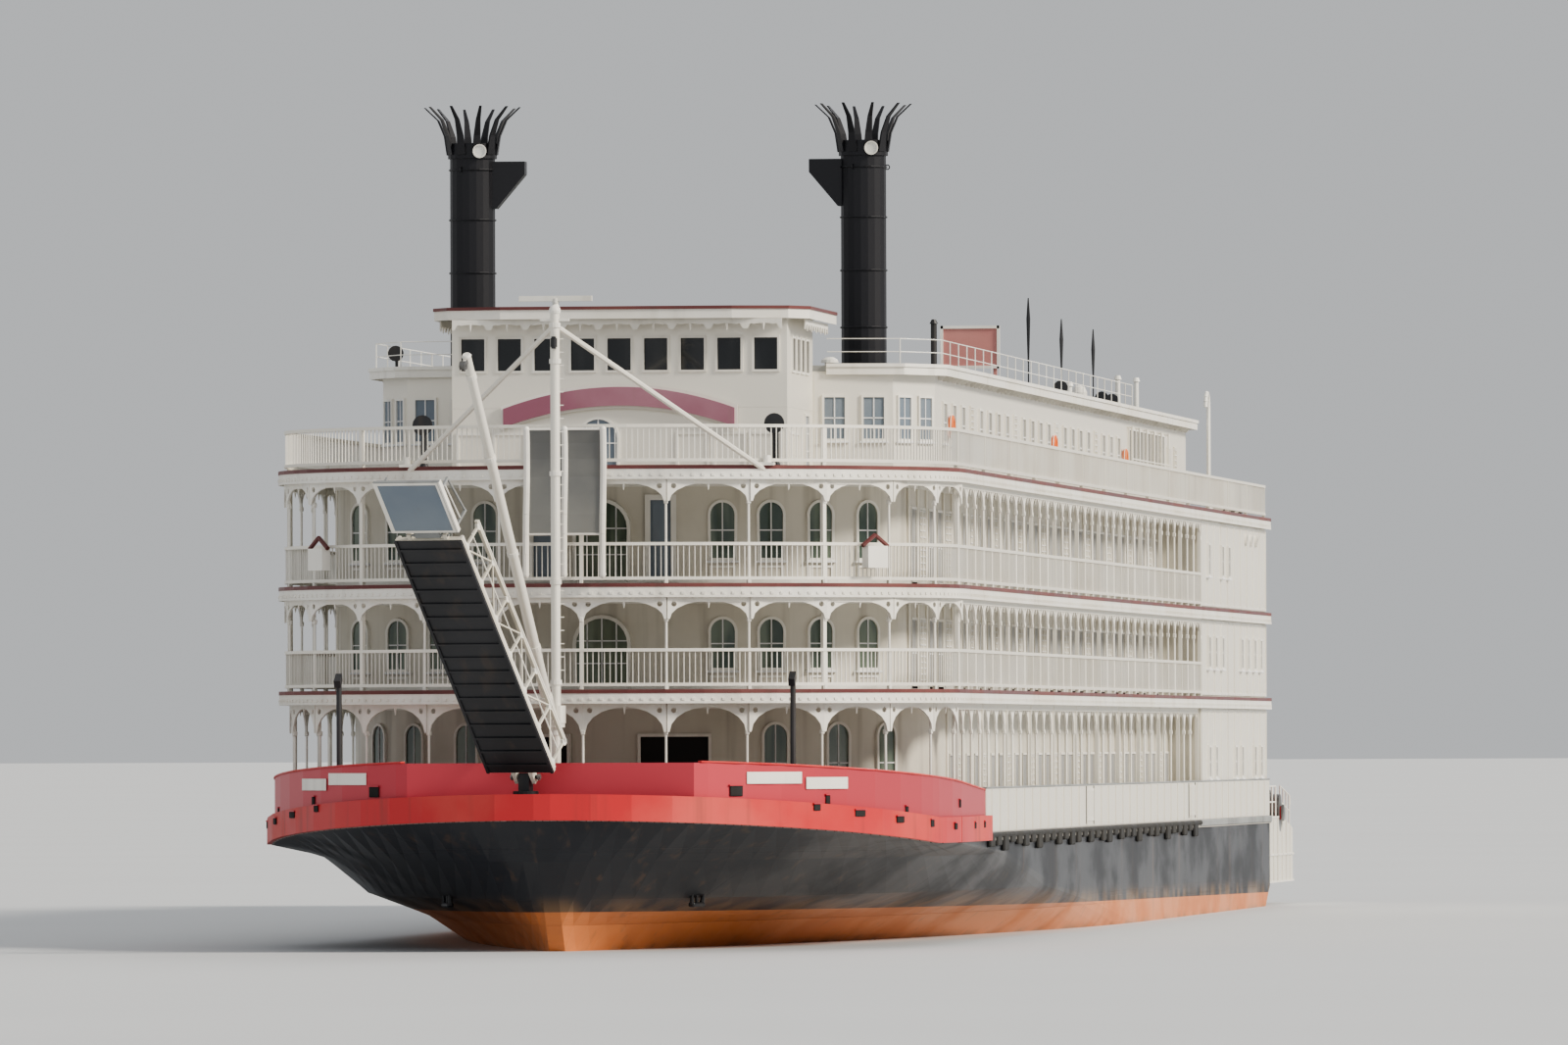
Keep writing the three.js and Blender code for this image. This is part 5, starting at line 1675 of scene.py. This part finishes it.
@dataclass
class RoofGear:
    """What stands on the roofs: rails, poles, lamps, vents, the blank board, davits and rafts."""

    pole_y: float = 0.6
    vent_y: float = 0.38
    board_aft: float = 4.0
    davit_aft: float = 8.86
    raft_y: float = 0.8
    raft_afts: Triple = (9.15, 9.4, 9.65)

    def rails(self) -> None:
        """Runs a light railing round the forward part of the roof."""
        parts = []
        for side in Side:
            corners = ((6.98, 0.748), (2.0, 0.748), (1.836, 0.658), (1.8, 0.47))
            path = [Vector((from_aft(aft), side.value * y)) for aft, y in corners]
            for start, end in zip(path, path[1:]):
                for height in (TEXAS_ROOF + 0.036, TEXAS_ROOF + 0.07):
                    parts.append(rod((*start, height), (*end, height), 0.0013, 5))
                count = max(1, round((end - start).length / 0.2))
                for x, y in [start.lerp(end, index / count) for index in range(count)]:
                    parts.append(rod((x, y, ON_ROOF), (x, y, TEXAS_ROOF + 0.071), 0.0017, 5))
        done(parts, "roof_rails", Finish.TRIM)

    def poles(self) -> None:
        """Raises the dark slender poles, the white posts and the aerial dome along the port side."""
        dark = []
        for aft, head in ((5.5, 2.015), (6.4, 1.98), (7.3, 1.975)):
            vase = ((0.0024, TEXAS_ROOF + 0.1), (0.0058, head - 0.06), (0.0016, head))
            dark += [turned(from_aft(aft), self.pole_y, ((0.0022, ON_ROOF), (0.0014, head)), 6),
                     turned(from_aft(aft), self.pole_y, vase, 8)]
        done(dark, "roof_poles", Finish.BLACK)
        white = []
        for aft, head in ((8.02, 1.843), (8.58, 1.85), (6.62, 1.79)):
            rings = ((0.0085, ON_ROOF), (0.0075, head), (0.012, head), (0.008, head + 0.012))
            white.append(turned(from_aft(aft), self.pole_y, rings))
        done(white, "roof_posts", Finish.TRIM)
        rings = (0.014, 0.0005), (0.014, 0.03), (0.023, 0.036), (0.023, 0.048), (0.016, 0.064), (0.002, 0.07)
        dome = spread(turned(0, 0, rings, 18), on_roof((6.9, self.pole_y)))
        done(dome, "roof_dome", Finish.TRIM, smooth=True)

    def lamps(self) -> None:
        """Sets dark round lamps on short stands."""
        lamp = joined([
            rod((0, 0, 0.0005), (0, 0, 0.03), 0.004),
            rod((-0.014, 0, 0.045), (0.014, 0, 0.045), 0.015, 14, 0.02),
            rod((0.014, 0, 0.045), (0.017, 0, 0.045), 0.021, 14),
        ])
        places = on_roof((6.2, 0.62), (7.56, 0.6), (7.86, 0.6), (7.56, -0.6), (6.2, -0.6), (2.04, -0.7))
        done(spread(lamp, places), "roof_lamps", Finish.BLACK)

    def vents(self) -> None:
        """Sets mushroom vents, skylights and plant housings down the middle of the roof."""
        rings = ((0.013, 0.0005), (0.013, 0.03), (0.024, 0.028), (0.022, 0.036), (0.01, 0.043))
        afts = [2.6 + 0.55 * index for index in range(11)]
        places = on_roof(*[(aft, y) for aft in afts for y in (self.vent_y, -self.vent_y)])
        done(spread(turned(0, 0, rings, 14), places), "roof_vents", Finish.TRIM)
        light = chamfer(box((-0.2, -0.12, 0.0005), (0.2, 0.12, 0.034)), 0.01)
        parts = [recess(light, (0, 0, 1), 0.012, 0.004, Finish.CABIN_GLASS)]
        for at in (-0.12, -0.04, 0.04, 0.12):
            parts.append(box((at - 0.003, -0.105, 0.029), (at + 0.003, 0.105, 0.036)))
        places = on_roof((3.1, 0.0), (4.2, 0.0), (5.3, 0.0), (6.4, 0.0))
        done(spread(joined(parts), places), "roof_skylights", None)
        plant = chamfer(box((-0.16, -0.15, 0.0005), (0.16, 0.15, 0.075)), 0.006)
        for facing in (OUT, (0, -1, 0)):
            recess(plant, facing, 0.01, 0.004, Finish.GREY)
        fans = [ring((x, 0, 0.075), 0.052, 0.004, (0, 0, 0), 24, 6) for x in (-0.075, 0.075)]
        # A near-black disc of painted shade fills each fan ring, where the duct would be.
        fans += [paint(rod((x, 0, 0.0745), (x, 0, 0.0765), 0.049, 20), Finish.OPENING_SHADE) for x in (-0.075, 0.075)]
        done(spread(joined([plant, *fans]), on_roof((7.35, 0.0), (7.95, 0.0))), "roof_plant", None)

    def board(self) -> None:
        """Stands the framed blank board on two legs, with a black post beside it."""
        x, low, high = from_aft(self.board_aft), 0.5215, 0.6785
        parts = [box((x - 0.008, low, 1.78), (x, high, 1.89))]
        for y in (low + 0.01, high - 0.01):
            parts.append(box((x - 0.014, y - 0.005, ON_ROOF), (x - 0.004, y + 0.005, 1.88)))
        done(parts, "roof_board", Finish.BOARD)
        parts = [box((x - 0.003, y - 0.004, 1.776), (x + 0.004, y + 0.004, 1.894)) for y in (low, high)]
        for at in (1.78, 1.89):
            parts.append(box((x - 0.003, low - 0.003, at - 0.004), (x + 0.004, high + 0.003, at + 0.004)))
        done(parts, "board_frame", Finish.TRIM)
        post = turned(x, low - 0.022, ((0.0085, ON_ROOF), (0.0085, 1.9), (0.012, 1.9), (0.006, 1.912)), 10)
        done(post, "board_post", Finish.BLACK)

    def davits(self) -> None:
        """Stands a white swan-necked davit on each side at the after end of the house."""
        x, parts = from_aft(self.davit_aft), []
        for side in Side:
            y = side.value * 0.795
            parts.append(turned(x, y, ((0.016, ON_FOURTH), (0.01, FOURTH_DECK + 0.03))))
            spots = [Vector((x, y, FOURTH_DECK + 0.02)), Vector((x, y, 1.775))]
            for turn in [math.radians(20 * step) for step in range(10)]:
                spots.append(Vector((x + 0.045 * (1 - math.cos(turn)), y, 1.775 + 0.045 * math.sin(turn))))
            parts += pipe(spots, 0.0062)
        done(parts, "davits", Finish.TRIM, smooth=True)

    def rafts(self) -> None:
        """Lays three raft canisters on a cradle along each side, and straps them down."""
        height = FOURTH_DECK + 0.0343
        raft = chamfer(rod((-0.085, 0, 0), (0.085, 0, 0), 0.026, 20), 0.008, 3)
        parts = [spread(raft, stood(side_steps(self.raft_afts, self.raft_y), height))]
        for y in (self.raft_y, -self.raft_y):
            low, high = (from_aft(9.75), y - 0.016, ON_FOURTH), (from_aft(9.05), y + 0.016, ON_FOURTH + 0.012)
            parts.append(box(low, high))
        done(parts, "life_rafts", Finish.WHITE)
        strap = ring((0, 0, 0), 0.0268, 0.0018, (0, math.pi / 2, 0), 20, 5)
        afts = [aft + shift for aft in self.raft_afts for shift in (-0.045, 0.0, 0.045)]
        places = stood(side_steps(afts, self.raft_y), height)
        done(spread(strap, places), "raft_straps", Finish.RUBBER)

    def build(self) -> None:
        """Builds everything on the roofs."""
        for step in (self.rails, self.poles, self.lamps, self.vents, self.board, self.davits, self.rafts):
            step()


@dataclass
class SternGear:
    """Straps and flanges on the stern wheel, bearing caps, rails and caps on the outriggers, and a staff."""

    aft: float = 10.41
    height: float = 0.52
    radius: float = 0.38
    hubs: tuple[float, ...] = (-0.66, -0.22, 0.22, 0.66)
    floats: int = 14
    middle: float = 0.836

    def wheel(self) -> None:
        """Bolts iron straps over the floats and flanges on the hubs."""
        x, z, radius = from_aft(self.aft), self.height, self.radius
        hubs = [Matrix.Translation((x, y, z)) for y in self.hubs]
        turns = [Matrix.Rotation(2 * math.pi * index / self.floats, 4, "Y") for index in range(self.floats)]
        strap = [chamfer(box((radius - 0.062, -0.016, -0.0022), (radius - 0.012, 0.016, 0.0145)), 0.0012)]
        for at in (radius - 0.052, radius - 0.022):
            strap += [rod((at, y, 0.012), (at, y, 0.0185), 0.0034, 6) for y in (-0.008, 0.008)]
        places = [hub @ turn for hub in hubs for turn in turns]
        done(spread(joined(strap), places), "float_straps", Finish.BLACK, "wheel")
        flange = [rod((0, -0.019, 0), (0, 0.019, 0), 0.04, 24)]
        for turn in [math.pi / 4 * index for index in range(8)]:
            bolt = Vector((math.cos(turn), 0.0, math.sin(turn))) * 0.047
            flange.append(rod(bolt - Vector((0, 0.012, 0)), bolt + Vector((0, 0.012, 0)), 0.0036, 6))
        done(spread(joined(flange), hubs), "hub_flanges", Finish.BLACK, "wheel")
        hoop = ring((0, 0, 0), radius - 0.016, 0.0042, ON_EDGE, 56, 6)
        done(spread(hoop, hubs), "outer_hoops", Finish.WHEEL, "wheel", smooth=True)
        caps = [rod((x, sign * 0.884, z), (x, sign * 0.877, z), 0.0265, 20) for sign in (1, -1)]
        done(caps, "shaft_caps", Finish.STEEL, "wheel")

    def bearings(self) -> None:
        """Bolts a base plate and a split cap line to each bearing."""
        x, height, parts = from_aft(self.aft), self.height, []
        for side in Side:
            middle = side.value * self.middle
            for y in (0.8035, 0.8685):
                parts.append(ring((x, side.value * y, height), 0.056, 0.0036, ON_EDGE, 28, 6))
            for at in (x - 0.068, x + 0.068):
                parts.append(box((at - 0.012, middle - 0.03, 0.5046), (at + 0.012, middle + 0.03, 0.5146)))
                for y in (middle - 0.018, middle + 0.018):
                    parts.append(rod((at, y, 0.512), (at, y, 0.522), 0.0045, 6))
            parts.append(turned(x, middle, ((0.007, height + 0.059), (0.005, height + 0.073)), 10))
        done(parts, "bearing_fittings", Finish.BLACK)

    @staticmethod
    def top(aft: float) -> float:
        """The height of an outrigger's top at a distance aft."""
        return 0.505 - 0.1 * max(0.0, aft - 10.5)

    def outriggers(self) -> None:
        """Caps the outriggers, stiffens their sides and rails them off."""
        capping, rails = [], []
        for side in Side:
            y, edge = side.value * self.middle, side.value * 0.864
            for fore, after in ((9.953, 10.345), (10.475, 10.5)):
                capping.append(box((from_aft(after), y - 0.038, 0.5052), (from_aft(fore), y + 0.038, 0.5102)))
            for inner, outer in ((0.8725, 0.8765), (0.7955, 0.7995)):
                near, far = side.value * inner, side.value * outer
                for aft in (10.02, 10.16, 10.3, 10.46, 10.6, 10.74):
                    x = from_aft(aft)
                    capping.append(box((x - 0.004, near, 0.306), (x + 0.004, far, self.top(aft) - 0.002)))
                for low, high in ((0.3, 0.306), (0.385, 0.391)):
                    capping.append(box((from_aft(10.85), near, low), (from_aft(9.953), far, high)))
            for afts in ((9.97, 10.09, 10.21, 10.33), (10.49, 10.6, 10.71, 10.81)):
                feet = [Vector((from_aft(aft), edge, self.top(aft))) for aft in afts]
                for foot in feet:
                    rails.append(rod(foot, foot + Vector((0, 0, 0.1)), 0.0026))
                for rise in (0.05, 0.1):
                    rails += pipe([foot + Vector((0, 0, rise)) for foot in feet], 0.0024)
            bend, end = [], from_aft(10.81)
            for turn in [math.radians(15 * step) for step in range(7)]:
                bend.append(Vector((end - 0.03 * math.sin(turn), edge, 0.544 + 0.03 * math.cos(turn))))
            rails += pipe(bend, 0.0024)
        done(capping, "outrigger_stiffeners", Finish.TRIM)
        done(rails, "outrigger_rails", Finish.TRIM)

    def staff(self) -> None:
        """Raises the stern staff with its light."""
        x, deck = from_aft(9.915), FOURTH_DECK
        done([
            turned(x, 0.0, ((0.0045, ON_FOURTH), (0.003, deck + 0.34)), 8),
            turned(x, 0.0, ((0.011, ON_FOURTH), (0.008, deck + 0.02)), 10),
            ball((x, 0.0, deck + 0.343), 0.0075, 6),
            box((x + 0.004, -0.008, deck + 0.15), (x + 0.022, 0.008, deck + 0.176)),
        ], "stern_staff", Finish.TRIM)

    def build(self) -> None:
        """Builds everything at the stern."""
        for step in (self.wheel, self.bearings, self.outriggers, self.staff):
            step()


def on_foredeck(aft: float) -> float:
    """The height at which gear stands on the main deck near the bow."""
    return MAIN_DECK + sheer(aft) + 0.0005


@dataclass
class DeckGear:
    """Bitts, winches, a hatch and lockers on the foredeck."""

    bitt_spots: tuple[tuple[float, float], ...] = ((0.56, 0.735), (0.98, 0.79), (1.7, 0.842))
    winch_aft: float = 0.7
    hatch_aft: float = 0.95
    locker_aft: float = 1.22

    def bitts(self) -> None:
        """Stands pairs of mooring posts inside the bulwark."""
        rings = ((0.01, 0.0), (0.01, 0.04), (0.0125, 0.04), (0.01, 0.046))
        parts = [turned(x, 0.0, rings, 14) for x in (-0.03, 0.03)]
        parts.append(box((-0.048, -0.016, -0.012), (0.048, 0.016, 0.005)))
        places = []
        for aft, y in self.bitt_spots:
            places += stood(side_steps((aft,), y), on_foredeck(aft))
        done(spread(joined(parts), places), "mooring_bitts", Finish.BLACK)

    def winches(self) -> None:
        """Sets the two stage winches between the mast and the house."""
        parts = [rod((0, -0.05, 0.034), (0, 0.05, 0.034), 0.019, 18)]
        for sign in (-1, 1):
            parts += [rod((0, sign * 0.054, 0.034), (0, sign * 0.05, 0.034), 0.028, 20),
                      box((-0.032, sign * 0.064, 0.0), (0.032, sign * 0.056, 0.046))]
        parts += [box((-0.03, 0.064, 0.004), (0.024, 0.092, 0.04)),
                  box((-0.04, -0.072, -0.01), (0.04, 0.1, 0.003))]
        for index in range(9):
            parts.append(ring((0, 0.011 * index - 0.044, 0.034), 0.0195, 0.0018, ON_EDGE, 18, 5))
        aft = self.winch_aft
        places = [placed(from_aft(aft), y, on_foredeck(aft)) for y in (0.2, -0.3)]
        done(spread(joined(parts), places), "stage_winches", Finish.GREY)

    def hatch(self) -> None:
        """Lays a raised hatch with a grating beside the capstan, and lockers along the bulwark."""
        hatch = chamfer(box((-0.09, -0.11, -0.01), (0.09, 0.11, 0.022)), 0.003)
        recess(hatch, (0, 0, 1), 0.008, 0.004, Finish.WOOD)
        aft = self.hatch_aft
        done(moved(hatch, placed(from_aft(aft), -0.02, MAIN_DECK + sheer(aft))), "foredeck_hatch", None)
        locker = chamfer(box((-0.06, -0.026, -0.008), (0.06, 0.026, 0.05)), 0.003)
        places = stood(side_steps((self.locker_aft,), 0.805), on_foredeck(self.locker_aft))
        done(spread(locker, places), "deck_lockers", Finish.WHITE)

    def build(self) -> None:
        """Builds the foredeck gear."""
        for step in (self.bitts, self.winches, self.hatch):
            step()


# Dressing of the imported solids

def both(*names: str) -> list[str]:
    """The names of solids that there is one of on each side."""
    return [f"{name}_{side.word}" for name in names for side in Side]


RAILINGS = ("balcony_second", "balcony_third", "rail_fourth")
NODE_FINISHES = {
    Finish.HULL: ("hull_bottom", "hull_topsides"),
    Finish.DECK: ("main_deck",),
    Finish.STRAKE: ("bow_strake",),
    Finish.RED: ("bow_bulwark",),
    Finish.WHITE: (
        *both(*RAILINGS, "side_bulwark", "colonnade", "outrigger"), *[f"{rail}_bow" for rail in RAILINGS],
        "pilothouse_base", "pilothouse_cab", "bow_mast", "boom_collar", "boom", "texas_house",
    ),
    Finish.CREAM: ("house_main", "house_second", "house_third", "stage"),
    Finish.SECOND_PLATE: ("deck_second",),
    Finish.THIRD_PLATE: ("deck_third",),
    Finish.FOURTH_PLATE: ("deck_fourth",),
    Finish.GREY: ("texas_roof", "pilothouse_roof", "capstan_base", "stage_apron"),
    Finish.STACK: both("stack", "crown"),
    Finish.WHEEL: ("sternwheel",),
    Finish.BLACK: ("stage_pedestal", "stage_turntable", *both("rudder", "searchlight", "lamp_post")),
    Finish.STEEL: (*both("wheel_bearing"), "capstan"),
    Finish.TRIM: ("radar_post", "radar_scanner"),
}


def dress_solids() -> None:
    """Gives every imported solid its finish."""
    for finish, names in NODE_FINISHES.items():
        for name in names:
            for slot in bpy.data.objects[name].material_slots:
                slot.material = finish.material()
            LOG.info("%s dressed in %s", name, finish.value.name)


# Camera, floor and light

@dataclass
class Studio:
    """The camera at the photograph's angle, a plain pale floor at the waterline, and soft light."""

    camera_at: Triple = (41.28, 5.097, 0.745)
    target: Triple = (4.96, 0.575, 1.295)
    lens: float = 338.0
    roll: float = math.radians(0.2)
    floor_size: float = 800.0

    def camera(self) -> None:
        """Aims a long lens at the boat from a little to port of its bow."""
        data = bpy.data.cameras.new("photo_camera")
        data.lens, data.sensor_width, data.clip_start, data.clip_end = self.lens, 36.0, 1.0, 2000.0
        camera = bpy.data.objects.new("photo_camera", data)
        bpy.context.collection.objects.link(camera)
        aim = (Vector(self.target) - Vector(self.camera_at)).to_track_quat("-Z", "Y").to_matrix().to_4x4()
        camera.matrix_world = Matrix.Translation(self.camera_at) @ aim @ Matrix.Rotation(-self.roll, 4, "Z")
        bpy.context.scene.camera = camera

    def floor(self) -> None:
        """Lays the pale floor at the waterline."""
        floor = made(bpy.ops.mesh.primitive_plane_add, size=self.floor_size, location=(0.0, 0.0, WATERLINE))
        floor.name = floor.data.name = "studio_floor"
        nodes = Nodes("studio_floor")
        shade = nodes.step(nodes.noise((0.4, 0.4, 0.4), 2.0), 0.2, 0.8)
        colour = nodes.blend(shade, (0.56, 0.57, 0.58), (0.58, 0.59, 0.6))
        nodes.tree.links.new(colour, nodes.shader.inputs["Base Color"])
        nodes.shader.inputs["Roughness"].default_value = 0.6
        floor.data.materials.append(nodes.material)

    @staticmethod
    def lamp(name: str, source: Triple, strength: float, angle: float, colour: Triple) -> None:
        """A broad soft light that reaches the whole floor evenly.

        Args:
            name: the light's name.
            source: the direction that it comes from.
            strength: its strength.
            angle: the angle that it covers, in degrees. A wider one gives softer shadows.
            colour: its colour.
        """
        data = bpy.data.lights.new(name, "SUN")
        data.energy, data.angle, data.color = strength, math.radians(angle), colour
        light = bpy.data.objects.new(name, data)
        bpy.context.collection.objects.link(light)
        light.location = source
        light.rotation_euler = (-Vector(source)).to_track_quat("-Z", "Y").to_euler()

    def lights(self) -> None:
        """Sets the key, fill and rim lights and the soft surroundings."""
        self.lamp("key", (6.0, 22.0, 14.0), 3.8, 14.0, (1.0, 0.93, 0.82))
        self.lamp("fill", (26.0, -2.0, 14.0), 0.25, 40.0, (0.95, 0.97, 1.0))
        self.lamp("rim", (-20.0, 4.0, 12.0), 0.5, 20.0, (1.0, 1.0, 1.0))
        world = bpy.data.worlds.new("studio")
        world.use_nodes = True
        background = world.node_tree.nodes["Background"]
        background.inputs["Color"].default_value = (0.86, 0.88, 0.9, 1.0)
        background.inputs["Strength"].default_value = 0.55
        bpy.context.scene.world = world
        bpy.context.scene.view_settings.view_transform = "AgX"
        bpy.context.scene.view_settings.look = "AgX - Medium High Contrast"

    def build(self) -> None:
        """Sets up the whole studio."""
        self.camera()
        self.floor()
        self.lights()


def main() -> None:
    """Dresses the boat, builds its pieces in order and sets the studio."""
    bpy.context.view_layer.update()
    dress_solids()
    build_promenades()
    build_houses()
    for assembly in (GrandEntrance(), Texas(), Pilothouse(), BowDressing(), LandingStage(), BoomAndMast(),
                     Stacks(), RoofGear(), SternGear(), DeckGear(), Studio()):
        assembly.build()


if __name__ == "__main__":
    main()
